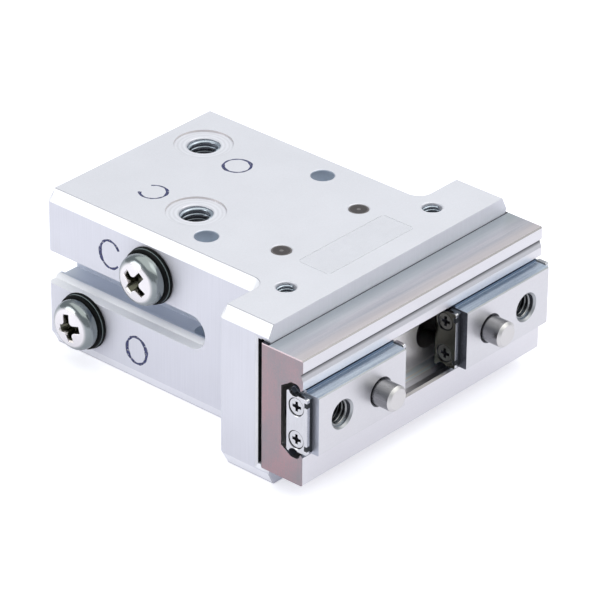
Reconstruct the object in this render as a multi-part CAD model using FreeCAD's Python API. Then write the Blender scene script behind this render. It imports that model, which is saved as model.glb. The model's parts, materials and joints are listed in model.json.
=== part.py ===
"""Slim parallel gripper: a 16 mm air cylinder drives two bell-crank levers, which slide two finger
blocks along a ball guide. Millimetres.

+X runs along the guide, +Y runs back from the fingers to the cylinder's end cap, +Z is up.
The origin is on the bottom mounting face, midway between the two mounting holes.
The fingers are modelled open, with the piston at the front of its stroke.
"""

import FreeCAD, Part
import math
import os

from FreeCAD import Vector

# Body
body_thickness = 26.0
body_width = 35.4
body_rear_reach = 27.4
flange_thickness = 8.25
flange_rear_reach = 14.45
lip_reach = 1.45
inner_corner_radius = 1.4
edge_bevel_inset = 1.0
edge_bevel_drop = 2.0
seat_relief_radius = 0.3
seat_end_width = 1.5
seat_end_depth = 0.85
seat_end_chamfer = 0.32
seat_end_flare = 0.6

# Mounting holes and tapped holes of the body
mount_hole_diameter = 3.5
mount_hole_spacing = 25.2
flange_tap_diameter = 3.0
flange_tap_spacing = 31.8
flange_tap_depth = 6.0
flange_tap_inset = 3.85
hole_chamfer = 0.15

# Air ports, open on the top face and plugged on the left side
port_diameter = 5.0
port_depth = 5.0
port_face_diameter = 9.0
port_face_depth = 0.3
port_passage_diameter = 2.4
top_port_offset = 8.15
side_port_offset = 6.4
close_port_y = 6.2

# Sensor grooves along both sides
groove_width = 5.5
groove_depth = 6.2
groove_front_reach = 4.4
groove_neck = 4.4
groove_rib_radius = 1.1
groove_rib_depth = 2.55

# Cylinder, piston and rod
bore_diameter = 16.0
bore_front_margin = 0.5
piston_length = 7.6
piston_land = 1.0
piston_seal_width = 2.0
piston_seal_depth = 1.8
magnet_width = 1.8
magnet_depth = 2.0
rod_diameter = 6.0
rod_stud_diameter = 4.0
nut_width = 7.0
nut_height = 2.2
nut_recess_margin = 0.4
bush_diameter = 12.0
bush_length = 3.6
bush_groove_width = 1.4
bush_groove_depth = 1.0
cap_length = 3.9
cap_front_margin = 0.3
cap_seal_width = 1.8
cap_seal_depth = 1.3
retaining_ring_thickness = 1.0
retaining_ring_setback = 1.2
retaining_ring_bite = 0.7
retaining_ring_band = 1.5
retaining_ring_gap = 5.0
retaining_lug_radius = 1.7
retaining_lug_hole_radius = 0.8

# Levers, and the clevis that drives them
pivot_spacing = 16.8
pivot_y = -10.7
pivot_pin_diameter = 3.0
pivot_pin_recess = 0.1
pivot_hole_floor = 1.2
lever_thickness = 4.0
lever_boss_radius = 3.0
lever_tip_radius = 1.2
lever_neck_radius = 0.9
lever_tip_depth = 2.0
lever_eye_radius = 2.3
clevis_pin_diameter = 2.5
clevis_width = 6.4
clevis_height = 8.0
clevis_front_reach = 2.4
clevis_wall = 1.9

# Guide rail
guide_length = 52.4
guide_overhang = 0.3
guide_height = 20.4
guide_depth = 8.0
guide_edge_chamfer = 0.2
guide_rear_chamfer = 0.35
channel_depth = 4.05
channel_floor = 9.6
jaw_chamfer = 0.3
jaw_thickness = 0.5
raceway_flat = 0.85
mark_groove_inset = 2.0
mark_groove_width = 1.4
mark_groove_depth = 0.4
mark_groove_root_inset = 0.4
lever_slot_length = 10.9
lever_slot_height = 5.5
guide_screw_diameter = 2.5
guide_screw_head_diameter = 4.5
guide_screw_head_height = 2.5
guide_screw_bite = 6.0
guide_screw_hole_margin = 0.4
guide_screw_socket_diameter = 2.2
guide_screw_socket_depth = 1.2
guide_screw_inner_offset = 17.2
guide_screw_pitch = 5.8

# Finger blocks, which ride on two rows of balls
finger_stroke = 4.0
finger_length = 18.5
finger_open_inset = 6.8
finger_reach = 2.2
finger_edge_chamfer = 0.15
finger_shoulder = 4.7
finger_lip_front = 0.12
finger_ridge = 0.55
finger_ridge_chamfer = 0.2
groove_front_angle = 6.0
groove_rear_angle = 17.5
ball_radius = 0.8
ball_offset = 5.2
ball_pitch = 3.4
balls_per_row = 4
finger_thread_diameter = 4.0
finger_thread_inset = 5.0
finger_thread_mouth = 0.32
finger_dowel_diameter = 4.0
finger_dowel_inset = 5.3
finger_dowel_reach = 3.2
finger_dowel_chamfer = 0.4
finger_dowel_web = 0.3
finger_dowel_shank_diameter = 3.0
finger_dowel_mouth = 0.3

# Cross recesses, as shares of the recess at the face
recess_taper = 0.5
recess_corner_share = 0.5

# End plates and wipers of the finger blocks
plate_thickness = 0.6
wiper_thickness = 0.68
plate_setback = 1.1
plate_step = 0.3
plate_front_angle = 45.0
wiper_step = 0.1
plate_notch_offset = 3.5
plate_notch_height = 0.8
plate_notch_depth = 0.5
plate_countersink_diameter = 3.0
plate_screw_head_diameter = 2.6
plate_screw_head_height = 0.4
plate_screw_diameter = 1.6
plate_screw_length = 3.4
plate_screw_offset = 2.65
plate_screw_depth = 0.95
plate_screw_recess_span = 1.65
plate_screw_recess_width = 0.48
plate_screw_recess_depth = 0.35

# Port plugs: pan-head screws on sealing washers
plug_head_diameter = 7.9
plug_head_edge = 0.7
plug_corner_radius = 1.4
plug_corner_angle = 70.0
plug_end_gap = 0.6
plug_recess_span = 4.9
plug_recess_width = 1.25
plug_recess_depth = 1.9
close_plug_turn = 52.0
open_plug_turn = 13.0
gasket_diameter = 8.9
gasket_head_lip_diameter = 8.6
gasket_waist_diameter = 8.3
gasket_thickness = 1.3

# Clearances: seats within one body, sliding fits, play of the linkage, and free room round it
seat_clearance = 0.01
running_clearance = 0.03
linkage_play = 0.03
piston_clearance = 0.05
screw_hole_clearance = 0.05
room_clearance = 0.3

# Places worked out from the sizes above
mid_z = body_thickness / 2
flange_width = guide_length - 2 * guide_overhang
flange_rear_y = -flange_rear_reach
seat_y = flange_rear_y - flange_thickness
lip_y = seat_y - lip_reach
outer_corner_radius = edge_bevel_inset
guide_front_y = seat_y - guide_depth
finger_front_y = guide_front_y - finger_reach
finger_end = finger_open_inset + finger_length
raceway_radius = ball_radius + running_clearance
ball_y = jaw_thickness + raceway_radius
finger_rear = ball_y + ball_radius + finger_ridge
pivot_x = pivot_spacing / 2
pocket_x = pivot_x + finger_stroke / 2
pocket_floor = lever_tip_depth - lever_tip_radius - linkage_play
lever_length = pivot_y - guide_front_y - lever_tip_depth
lever_swing = math.asin(finger_stroke / 2 / lever_length)
lever_half = lever_thickness / 2
clevis_pin_y = pivot_y - pivot_x * math.tan(lever_swing)
clevis_slot_y = clevis_pin_y + lever_boss_radius + room_clearance
clevis_rear_y = clevis_slot_y + clevis_wall
piston_stroke = 2 * (pivot_y - clevis_pin_y)
clevis_room_rear_y = clevis_rear_y + piston_stroke + room_clearance
bore_front_y = close_port_y - port_passage_diameter / 2 - bore_front_margin
bush_front_y = bore_front_y - bush_length
piston_front_y = close_port_y + port_passage_diameter / 2
piston_rear_y = piston_front_y + piston_length
piston_radius = bore_diameter / 2 - piston_clearance
cap_rear_y = body_rear_reach - retaining_ring_setback - retaining_ring_thickness
cap_front_y = cap_rear_y - cap_length
open_port_y = cap_front_y - cap_front_margin - port_passage_diameter / 2

# How far a cut runs past the face that it opens
past = 1.0


# Shapes that several pieces use


def block(x, y, z):
    """A box between the pairs of bounds x, y and z."""
    return Part.makeBox(x[1] - x[0], y[1] - y[0], z[1] - z[0], Vector(x[0], y[0], z[0]))


def bar(radius, start, direction, length):
    """A cylinder that runs from the point start."""
    return Part.makeCylinder(radius, length, Vector(*start), Vector(*direction))


def collar(outer_radius, inner_radius, start_y, length):
    """A plain ring round the cylinder's axis."""
    start = (0, start_y, mid_z)
    return bar(outer_radius, start, (0, 1, 0), length).cut(bar(inner_radius, start, (0, 1, 0), length))


def spindle(radius, start_y, length):
    """A round bar on the cylinder's axis."""
    return bar(radius, (0, start_y, mid_z), (0, 1, 0), length)


def edge_break(radius, mouth, inward, size=hole_chamfer):
    """The cut that breaks the edge of a hole of that radius."""
    return Part.makeCone(radius + size, radius, size, Vector(*mouth), Vector(*inward))


def line(a, b):
    return Part.LineSegment(a, b).toShape()


def arc(a, through, b):
    return Part.Arc(a, through, b).toShape()


def chain(points):
    """Straight edges from each point to the next."""
    return [line(a, b) for a, b in zip(points, points[1:])]


def filled(edges):
    """The flat face inside a closed outline."""
    return Part.Face(Part.Wire(Part.__sortEdges__(edges)))


def extruded(edges, direction):
    return filled(edges).extrude(Vector(*direction))


def rounded_outline(corners):
    """Edges of a closed outline in the XY plane. Each corner is (x, y, radius)."""
    edges = []
    joins = []
    for i, (x, y, radius) in enumerate(corners):
        here = Vector(x, y, 0)
        if radius == 0:
            joins.append((here, here))
            continue
        before = Vector(*corners[i - 1][:2], 0) - here
        after = Vector(*corners[(i + 1) % len(corners)][:2], 0) - here
        half_angle = before.getAngle(after) / 2
        run = radius / math.tan(half_angle)
        start = here + before.normalize() * run
        end = here + after.normalize() * run
        bisector = (before + after).normalize()
        edges.append(arc(start, here + bisector * (radius / math.sin(half_angle) - radius), end))
        joins.append((start, end))
    for i, (_, end) in enumerate(joins):
        edges.append(line(end, joins[(i + 1) % len(joins)][0]))
    return edges


def link(first, first_radius, second, second_radius, bottom, height):
    """A flat link whose outline wraps two circles, standing on z = bottom."""
    a = Vector(*first, bottom)
    b = Vector(*second, bottom)
    along = (b - a).normalize()
    across = Vector(-along.y, along.x, 0)
    lean = math.acos((first_radius - second_radius) / a.distanceToPoint(b))
    left = along * math.cos(lean) + across * math.sin(lean)
    right = along * math.cos(lean) - across * math.sin(lean)
    edges = [
        line(a + left * first_radius, b + left * second_radius),
        arc(b + left * second_radius, b + along * second_radius, b + right * second_radius),
        line(b + right * second_radius, a + right * first_radius),
        arc(a + right * first_radius, a - along * first_radius, a + left * first_radius),
    ]
    return extruded(edges, (0, 0, height))


def cross_outline(span, width, corner_radius, z):
    """The outline of a cross whose inner corners are rounded, at height z."""
    tip = span / 2
    flank = width / 2
    corners = []
    for along, across in ((1, 0), (0, 1), (-1, 0), (0, -1)):
        corners.append((along * tip + across * flank, across * tip - along * flank, 0))
        corners.append((along * tip - across * flank, across * tip + along * flank, 0))
        corners.append(((along - across) * flank, (along + across) * flank, corner_radius))
    wire = Part.Wire(Part.__sortEdges__(rounded_outline(corners)))
    wire.translate(Vector(0, 0, z))
    return wire


def cross_recess(span, width, depth, top_z):
    """The cut of a cross recess that narrows towards its bottom."""
    corner_radius = width * recess_corner_share
    top = cross_outline(span, width, corner_radius, top_z)
    low = recess_taper
    bottom = cross_outline(span * low, width * low, corner_radius * low, top_z - depth)
    return Part.makeLoft([top, bottom], True, True)


def pointed(shape, origin, direction):
    """A copy of shape with its +Z turned to direction and its origin moved to origin."""
    copy = shape.copy()
    turn = FreeCAD.Rotation(Vector(0, 0, 1), Vector(*direction))
    copy.Placement = FreeCAD.Placement(Vector(*origin), turn)
    return copy


def mirrored(shape):
    """The same piece on the other side of the middle plane."""
    return shape.mirror(Vector(0, 0, 0), Vector(1, 0, 0))


def both_sides(shape):
    return [shape, mirrored(shape)]


# Body


def edge_section(wall, inward, reach):
    """Edges of the cut that bevels a top edge: a flat from the wall up to the top face.

    wall is the wall's foot, inward the way into the block, and reach how far the cut runs out from the wall.
    """
    low = body_thickness - edge_bevel_drop
    high = body_thickness + past

    def at(depth, z):
        return wall + inward * depth + Vector(0, 0, z)

    top = at(edge_bevel_inset, body_thickness)
    outside = [at(edge_bevel_inset, high), at(-reach, high), at(-reach, low), at(0, low)]
    return chain([top] + outside + [top])


def quarter_turned(edges, x, y):
    """The solid that a section sweeps on its way round a corner, about an upright line at x and y."""
    return filled(edges).revolve(Vector(x, y, 0), Vector(0, 0, 1), 90)


def edge_bevels():
    """The cuts that bevel the upper right edges, from the middle of the rear round to the flange's side."""
    half = body_width / 2
    flange = flange_width / 2
    rear_x = half - outer_corner_radius
    rear_y = body_rear_reach - outer_corner_radius
    inner_x = half + inner_corner_radius
    inner_y = flange_rear_y + inner_corner_radius
    flange_x = flange - outer_corner_radius
    flange_y = flange_rear_y - outer_corner_radius
    left = Vector(-1, 0, 0)
    front = Vector(0, -1, 0)
    rear = edge_section(Vector(rear_x, body_rear_reach, 0), front, past)
    rear_corner = edge_section(Vector(half, rear_y, 0), left, past)
    body_side = edge_section(Vector(half, inner_y, 0), left, past)
    inner_corner = edge_section(Vector(half, inner_y, 0), left, inner_corner_radius)
    flange_rear = edge_section(Vector(inner_x, flange_rear_y, 0), front, past)
    flange_corner = edge_section(Vector(flange, flange_y, 0), left, past)
    flange_side = edge_section(Vector(flange, lip_y - past, 0), left, past)
    return [
        extruded(rear, (-rear_x, 0, 0)),
        quarter_turned(rear_corner, rear_x, rear_y),
        extruded(body_side, (0, rear_y - inner_y, 0)),
        quarter_turned(inner_corner, inner_x, inner_y),
        extruded(flange_rear, (flange_x - inner_x, 0, 0)),
        quarter_turned(flange_corner, flange_x, flange_y),
        extruded(flange_side, (0, flange_y - lip_y + past, 0)),
    ]


def four_edges(cut):
    """The same cut on both sides, at the top and at the bottom."""
    lower = cut.mirror(Vector(0, 0, mid_z), Vector(0, 0, 1))
    return both_sides(cut) + both_sides(lower)


def sensor_groove():
    """The cut of the right-hand sensor groove, with a round front end and a rib along each wall."""
    side = body_width / 2
    half = groove_width / 2
    front_y = -groove_front_reach
    end_y = body_rear_reach + past
    inner = side - groove_depth
    cut = block((inner, side + past), (front_y + half, end_y), (mid_z - half, mid_z + half))
    cut = cut.fuse(bar(half, (inner, front_y + half, mid_z), (1, 0, 0), groove_depth + past))
    rib_offset = groove_neck / 2 + groove_rib_radius
    for way in (1, -1):
        start = (side - groove_rib_depth, front_y - past, mid_z + way * rib_offset)
        cut = cut.cut(bar(groove_rib_radius, start, (0, 1, 0), end_y - front_y + past))
    return cut


def top_port(x, y):
    """The cut of a port on the top face: spot face, thread, and the passage that breaks into the bore."""
    face_z = body_thickness - port_face_depth
    radius = port_diameter / 2
    return [
        bar(port_face_diameter / 2, (x, y, face_z), (0, 0, 1), port_face_depth + past),
        bar(radius, (x, y, body_thickness - port_depth), (0, 0, 1), port_depth),
        edge_break(radius, (x, y, face_z), (0, 0, -1)),
        bar(port_passage_diameter / 2, (x, y, mid_z), (0, 0, 1), mid_z),
    ]


def side_port(y, z):
    """The cut of a port on the left side, straight into the bore."""
    mouth = (-body_width / 2, y, z)
    return [
        bar(port_diameter / 2, mouth, (1, 0, 0), port_depth),
        bar(port_passage_diameter / 2, mouth, (1, 0, 0), body_width / 2),
    ]


def cylinder_cuts():
    """Bore, retaining-ring groove, bush seat and rod hole."""
    rod_hole_y = clevis_room_rear_y - past
    return [
        spindle(bore_diameter / 2, bore_front_y, body_rear_reach - bore_front_y + past),
        spindle(bore_diameter / 2 + retaining_ring_bite, cap_rear_y, retaining_ring_thickness),
        spindle(bush_diameter / 2, bush_front_y, bush_length + past),
        spindle(rod_diameter / 2 + running_clearance, rod_hole_y, bore_front_y - rod_hole_y),
    ]


def lever_room_cuts():
    """The room that the levers and the clevis work in, open to the guide."""
    half_width = pivot_x + finger_stroke / 2 + lever_boss_radius
    half_height = lever_half + room_clearance
    clevis_half_width = clevis_width / 2 + room_clearance
    clevis_half_height = clevis_height / 2 + room_clearance
    lever_rear_y = pivot_y + lever_boss_radius + room_clearance
    front_y = seat_y - past
    return [
        block(
            (-half_width, half_width),
            (front_y, lever_rear_y),
            (mid_z - half_height, mid_z + half_height),
        ),
        block(
            (-clevis_half_width, clevis_half_width),
            (front_y, clevis_room_rear_y),
            (mid_z - clevis_half_height, mid_z + clevis_half_height),
        ),
    ]


def guide_screw_places():
    """The four guide screws, as distances along the guide."""
    offsets = (guide_screw_inner_offset, guide_screw_inner_offset + guide_screw_pitch)
    return [way * offset for offset in offsets for way in (1, -1)]


def hole_cuts():
    """Mounting holes, tapped holes of the flange, pivot-pin holes and guide-screw holes."""
    mount_radius = mount_hole_diameter / 2
    tap_radius = flange_tap_diameter / 2
    pivot_radius = pivot_pin_diameter / 2 + seat_clearance
    tap_y = flange_rear_y - flange_tap_inset
    cuts = []
    for way in (1, -1):
        mount_x = way * mount_hole_spacing / 2
        tap_x = way * flange_tap_spacing / 2
        pin_x = way * pivot_x
        cuts.append(bar(mount_radius, (mount_x, 0, 0), (0, 0, 1), body_thickness))
        cuts.append(bar(pivot_radius, (pin_x, pivot_y, pivot_hole_floor), (0, 0, 1), body_thickness))
        cuts.append(edge_break(pivot_radius, (pin_x, pivot_y, body_thickness), (0, 0, -1)))
        for face_z, inward in ((body_thickness, (0, 0, -1)), (0, (0, 0, 1))):
            cuts.append(edge_break(mount_radius, (mount_x, 0, face_z), inward))
            cuts.append(bar(tap_radius, (tap_x, tap_y, face_z), inward, flange_tap_depth))
            cuts.append(edge_break(tap_radius, (tap_x, tap_y, face_z), inward))
    depth = guide_screw_bite + guide_screw_hole_margin
    for x in guide_screw_places():
        cuts.append(bar(guide_screw_diameter / 2 + seat_clearance, (x, seat_y, mid_z), (0, 1, 0), depth))
    return cuts


def seat_height():
    """The bottom and the top of the guide's seat between the flange's lips."""
    return mid_z - guide_height / 2, mid_z + guide_height / 2


def seat_end_cuts():
    """The step that frees the guide's right-hand end from the flange, and the bevel round the seat's end."""
    flange = flange_width / 2
    low, high = seat_height()
    floor_y = seat_y + seat_end_depth
    front_y = lip_y - past
    step = block((flange - seat_end_width, flange + past), (front_y, floor_y), (low, high))

    def mouth(x, spread, flare):
        corners = [
            Vector(x, front_y, low - flare),
            Vector(x, floor_y + spread, low - flare),
            Vector(x, floor_y + spread, high + flare),
            Vector(x, front_y, high + flare),
        ]
        return Part.makePolygon(corners + corners[:1])

    wide = mouth(flange, seat_end_chamfer, seat_end_flare)
    narrow = mouth(flange - seat_end_chamfer, 0, 0)
    return [step, Part.makeLoft([wide, narrow], True, True)]


def body_block():
    """T-shaped block: the cylinder behind, and a wide flange in front whose lips hold the guide.

    Both corners and both ends of the guide's seat are relieved, so that the guide seats flat.
    """
    half = body_width / 2
    flange = flange_width / 2
    right = [
        (flange, lip_y, 0),
        (flange, flange_rear_y, outer_corner_radius),
        (half, flange_rear_y, inner_corner_radius),
        (half, body_rear_reach, outer_corner_radius),
    ]
    left = [(-x, y, radius) for x, y, radius in reversed(right)]
    body = extruded(rounded_outline(right + left), (0, 0, body_thickness))
    cuts = []
    for cut in edge_bevels():
        cuts += four_edges(cut)
    cuts.append(block((-flange - past, flange + past), (lip_y - past, seat_y), seat_height()))
    for z in seat_height():
        cuts.append(bar(seat_relief_radius, (-flange - past, seat_y, z), (1, 0, 0), flange_width + 2 * past))
    for cut in seat_end_cuts():
        cuts += both_sides(cut)
    cuts += both_sides(sensor_groove())
    cuts += cylinder_cuts() + lever_room_cuts() + hole_cuts()
    cuts += top_port(top_port_offset, open_port_y) + top_port(-top_port_offset, close_port_y)
    cuts += side_port(close_port_y, mid_z + side_port_offset)
    cuts += side_port(open_port_y, mid_z - side_port_offset)
    return body.cut(cuts).removeSplitter()


def pivot_pin(side):
    """Lever pivot, pressed in from the top face."""
    length = body_thickness - pivot_pin_recess - pivot_hole_floor
    return bar(pivot_pin_diameter / 2, (side * pivot_x, pivot_y, pivot_hole_floor), (0, 0, 1), length)


# Rear end of the cylinder, and the rod's bush


def cap_seal_y():
    return (cap_front_y + cap_rear_y - cap_seal_width) / 2


def end_cap():
    """Plug of the cylinder's rear end, with a seal groove round it."""
    radius = bore_diameter / 2 - seat_clearance
    cap = spindle(radius, cap_front_y, cap_length)
    return cap.cut(collar(radius + past, radius - cap_seal_depth, cap_seal_y(), cap_seal_width))


def outer_seal(radius, groove_depth_in, groove_y, width):
    """A sealing ring that fills a groove cut into a round piece of that radius."""
    floor_radius = radius - groove_depth_in + seat_clearance
    return collar(radius, floor_radius, groove_y + seat_clearance, width - 2 * seat_clearance)


def end_cap_seal():
    return outer_seal(bore_diameter / 2 - seat_clearance, cap_seal_depth, cap_seal_y(), cap_seal_width)


def retaining_ring():
    """Ring that springs into the bore's groove, open at the top, with a holed lug each side of the gap."""
    outer = bore_diameter / 2 + retaining_ring_bite - seat_clearance
    inner = bore_diameter / 2 - retaining_ring_band
    start_y = cap_rear_y + seat_clearance
    thickness = retaining_ring_thickness - 2 * seat_clearance
    half_gap = retaining_ring_gap / 2
    lug_x = half_gap + retaining_lug_radius
    lug_z = mid_z + math.sqrt(inner**2 - lug_x**2)
    gap = block((-half_gap, half_gap), (start_y, start_y + thickness), (mid_z, mid_z + outer + past))
    places = [(way * lug_x, start_y, lug_z) for way in (1, -1)]
    lugs = [bar(retaining_lug_radius, place, (0, 1, 0), thickness) for place in places]
    holes = [bar(retaining_lug_hole_radius, place, (0, 1, 0), thickness) for place in places]
    ring = collar(outer, inner, start_y, thickness).cut(gap).fuse(lugs)
    return ring.common(spindle(outer, start_y, thickness)).cut(holes).removeSplitter()


def bush_groove_places():
    """The front ends of the bush's inner groove and of its outer groove."""
    edge = (bush_length - 2 * bush_groove_width) / 3
    return bush_front_y + 2 * edge + bush_groove_width, bush_front_y + edge


def rod_bush():
    """Bush that guides the rod, with a seal groove inside and another outside."""
    radius = bush_diameter / 2 - seat_clearance
    bore = rod_diameter / 2 + running_clearance
    inner_y, outer_y = bush_groove_places()
    bush = collar(radius, bore, bush_front_y, bush_length)
    bush = bush.cut(spindle(bore + bush_groove_depth, inner_y, bush_groove_width))
    return bush.cut(collar(radius + past, radius - bush_groove_depth, outer_y, bush_groove_width))


def rod_seal():
    inner = rod_diameter / 2 + running_clearance
    outer = inner + bush_groove_depth - seat_clearance
    width = bush_groove_width - 2 * seat_clearance
    return collar(outer, inner, bush_groove_places()[0] + seat_clearance, width)


def rod_bush_seal():
    radius = bush_diameter / 2 - seat_clearance
    return outer_seal(radius, bush_groove_depth, bush_groove_places()[1], bush_groove_width)


# Piston, rod and clevis


def piston_groove_places():
    """The front ends of the seal groove and of the magnet groove."""
    seal_y = piston_front_y + piston_land
    return seal_y, seal_y + piston_seal_width + piston_land


def piston():
    seal_y, magnet_y = piston_groove_places()
    nut_corner = nut_width / math.sqrt(3)
    cuts = [
        collar(piston_radius + past, piston_radius - piston_seal_depth, seal_y, piston_seal_width),
        collar(piston_radius + past, piston_radius - magnet_depth, magnet_y, magnet_width),
        spindle(rod_stud_diameter / 2 + seat_clearance, piston_front_y, piston_length),
        spindle(nut_corner + nut_recess_margin, piston_rear_y - nut_height, nut_height),
    ]
    return spindle(piston_radius, piston_front_y, piston_length).cut(cuts)


def piston_seal():
    """Seal that stands a little proud of the piston, up to a sliding fit in the bore."""
    proud = piston_clearance - running_clearance
    seal_y = piston_groove_places()[0]
    return outer_seal(piston_radius + proud, piston_seal_depth + proud, seal_y, piston_seal_width)


def piston_magnet():
    return outer_seal(piston_radius, magnet_depth, piston_groove_places()[1], magnet_width)


def piston_nut():
    """Hexagon nut that holds the piston on the rod."""
    corner = nut_width / math.sqrt(3)
    front_y = piston_rear_y - nut_height
    turns = [math.radians(60 * i) for i in range(7)]
    corners = [Vector(corner * math.cos(turn), front_y, mid_z + corner * math.sin(turn)) for turn in turns]
    nut = filled(Part.makePolygon(corners).Edges).extrude(Vector(0, nut_height, 0))
    return nut.cut(spindle(rod_stud_diameter / 2 + seat_clearance, front_y, nut_height))


def piston_rod():
    """Rod with a stud at each end, for the clevis and for the piston."""
    stud = rod_stud_diameter / 2
    rod = spindle(rod_diameter / 2, clevis_rear_y, piston_front_y - clevis_rear_y)
    front_stud = spindle(stud, clevis_rear_y - clevis_wall, clevis_wall)
    rear_stud = spindle(stud, piston_front_y, piston_length)
    return rod.fuse([front_stud, rear_stud]).removeSplitter()


def rod_clevis():
    """Fork on the front of the rod. The levers' inner arms meet in its slot, round its pin."""
    half_width = clevis_width / 2
    half_height = clevis_height / 2
    slot_half = lever_half + room_clearance
    front_y = clevis_pin_y - clevis_front_reach
    width = (-half_width, half_width)
    body = block(width, (front_y, clevis_rear_y), (mid_z - half_height, mid_z + half_height))
    cuts = [
        block(width, (front_y, clevis_slot_y), (mid_z - slot_half, mid_z + slot_half)),
        spindle(rod_stud_diameter / 2 + seat_clearance, clevis_slot_y, clevis_wall),
        bar(clevis_pin_diameter / 2 + seat_clearance, (0, clevis_pin_y, 0), (0, 0, 1), body_thickness),
    ]
    return body.cut(cuts)


def clevis_pin():
    start = (0, clevis_pin_y, mid_z - clevis_height / 2)
    return bar(clevis_pin_diameter / 2, start, (0, 0, 1), clevis_height)


# Levers


def left_lever():
    """Bell crank: a full-thickness arm forward to the finger, and an upper half-thickness arm inwards."""
    pivot = (-pivot_x, pivot_y)
    low = mid_z - lever_half
    inner_low = mid_z + linkage_play
    inner_height = lever_half - linkage_play
    tip = (-pivot_x, pivot_y - lever_length)
    forward = link(pivot, lever_boss_radius, tip, lever_neck_radius, low, lever_thickness)
    round_tip = bar(lever_tip_radius, (*tip, low), (0, 0, 1), lever_thickness)
    inner = link(pivot, lever_boss_radius, (0, pivot_y), lever_eye_radius, inner_low, inner_height)
    eye = clevis_pin_diameter / 2 + linkage_play
    slide = pivot_x / math.cos(lever_swing) - pivot_x + linkage_play
    cuts = [
        bar(pivot_pin_diameter / 2 + running_clearance, (*pivot, low), (0, 0, 1), lever_thickness),
        link((-linkage_play, pivot_y), eye, (slide, pivot_y), eye, inner_low, inner_height),
    ]
    lever = forward.fuse([round_tip, inner]).cut(cuts).removeSplitter()
    lever.rotate(Vector(*pivot, 0), Vector(0, 0, 1), -math.degrees(lever_swing))
    return lever


def right_lever():
    """The left lever turned over, so that its inner arm is the lower one."""
    lever = left_lever()
    lever.rotate(Vector(0, 0, mid_z), Vector(0, 1, 0), 180)
    return lever


# Guide rail


def section_point(y, z):
    """A point of the guide's section: y back from its front face, z up from its middle."""
    return Vector(0, guide_front_y + y, mid_z + z)


def guide_half_section(way):
    """Edges of the upper (way 1) or lower (way -1) half of the channel, and of the outside beside it."""
    half = guide_height / 2
    race_top = ball_offset + raceway_radius
    slant = raceway_radius * math.sqrt(0.5)

    def at(y, z):
        return section_point(y, way * z)

    race_front = at(jaw_thickness, ball_offset)
    race_rear = at(ball_y, race_top)
    front = chain([at(0, ball_offset + jaw_chamfer), at(jaw_chamfer, ball_offset), race_front])
    race = arc(race_front, at(ball_y - slant, ball_offset + slant), race_rear)
    rear = [race_rear, at(ball_y + raceway_flat, race_top), at(channel_depth, channel_floor / 2)]
    outside = [
        at(guide_depth, half - guide_rear_chamfer),
        at(guide_depth - guide_rear_chamfer, half),
        at(guide_edge_chamfer, half),
        at(0, half - guide_edge_chamfer),
    ]
    return front + [race] + chain(rear) + chain(outside)


def guide_section():
    """Edges of the guide's section: a channel with two raceways, and a mark along its upper front."""
    half = guide_height / 2
    jaw = ball_offset + jaw_chamfer
    mark_top = half - mark_groove_inset
    upper_front = [
        section_point(0, half - guide_edge_chamfer),
        section_point(0, mark_top),
        section_point(mark_groove_depth, mark_top - mark_groove_root_inset),
        section_point(0, mark_top - mark_groove_width),
        section_point(0, jaw),
    ]
    lower_front = [section_point(0, -half + guide_edge_chamfer), section_point(0, -jaw)]
    floor = [section_point(channel_depth, way * channel_floor / 2) for way in (1, -1)]
    back = [section_point(guide_depth, way * (half - guide_rear_chamfer)) for way in (1, -1)]
    edges = guide_half_section(1) + guide_half_section(-1)
    return edges + chain(upper_front) + chain(lower_front) + chain(floor) + chain(back)


def lever_slot():
    """The right-hand slot in the guide's web that the lever reaches through."""
    radius = lever_slot_height / 2
    start_y = guide_front_y + channel_depth
    length = guide_depth - channel_depth
    reach = lever_slot_length / 2 - radius
    ends = [bar(radius, (pivot_x + way * reach, start_y, mid_z), (0, 1, 0), length) for way in (1, -1)]
    middle = block(
        (pivot_x - reach, pivot_x + reach),
        (start_y, start_y + length),
        (mid_z - radius, mid_z + radius),
    )
    return middle.fuse(ends)


def guide_end_chamfer():
    """The cut that breaks the guide's right-hand rear edge."""
    end_x = guide_length / 2
    low = seat_height()[0]
    corners = [
        Vector(end_x, seat_y, low),
        Vector(end_x - guide_rear_chamfer, seat_y, low),
        Vector(end_x, seat_y - guide_rear_chamfer, low),
        Vector(end_x, seat_y, low),
    ]
    return extruded(chain(corners), (0, 0, guide_height))


def guide_rail():
    """The channel that the fingers ride in, screwed to the flange through its web."""
    rail = extruded(guide_section(), (guide_length, 0, 0))
    rail.translate(Vector(-guide_length / 2, 0, 0))
    web_y = guide_front_y + channel_depth
    cuts = both_sides(lever_slot()) + both_sides(guide_end_chamfer())
    for x in guide_screw_places():
        head_radius = guide_screw_head_diameter / 2 + screw_hole_clearance
        shank_radius = guide_screw_diameter / 2 + screw_hole_clearance
        cuts.append(bar(head_radius, (x, web_y, mid_z), (0, 1, 0), guide_screw_head_height))
        cuts.append(bar(shank_radius, (x, web_y, mid_z), (0, 1, 0), guide_depth))
    return rail.cut(cuts).removeSplitter()


def guide_screws():
    """Four socket-head screws that hold the guide on the flange."""
    head_y = guide_front_y + channel_depth
    length = seat_y + guide_screw_bite - head_y
    screws = []
    for x in guide_screw_places():
        start = (x, head_y, mid_z)
        head = bar(guide_screw_head_diameter / 2, start, (0, 1, 0), guide_screw_head_height)
        shank = bar(guide_screw_diameter / 2, start, (0, 1, 0), length)
        socket = bar(guide_screw_socket_diameter / 2, start, (0, 1, 0), guide_screw_socket_depth)
        screws.append(head.fuse(shank).cut(socket).removeSplitter())
    return Part.makeCompound(screws)


# Finger blocks


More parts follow.
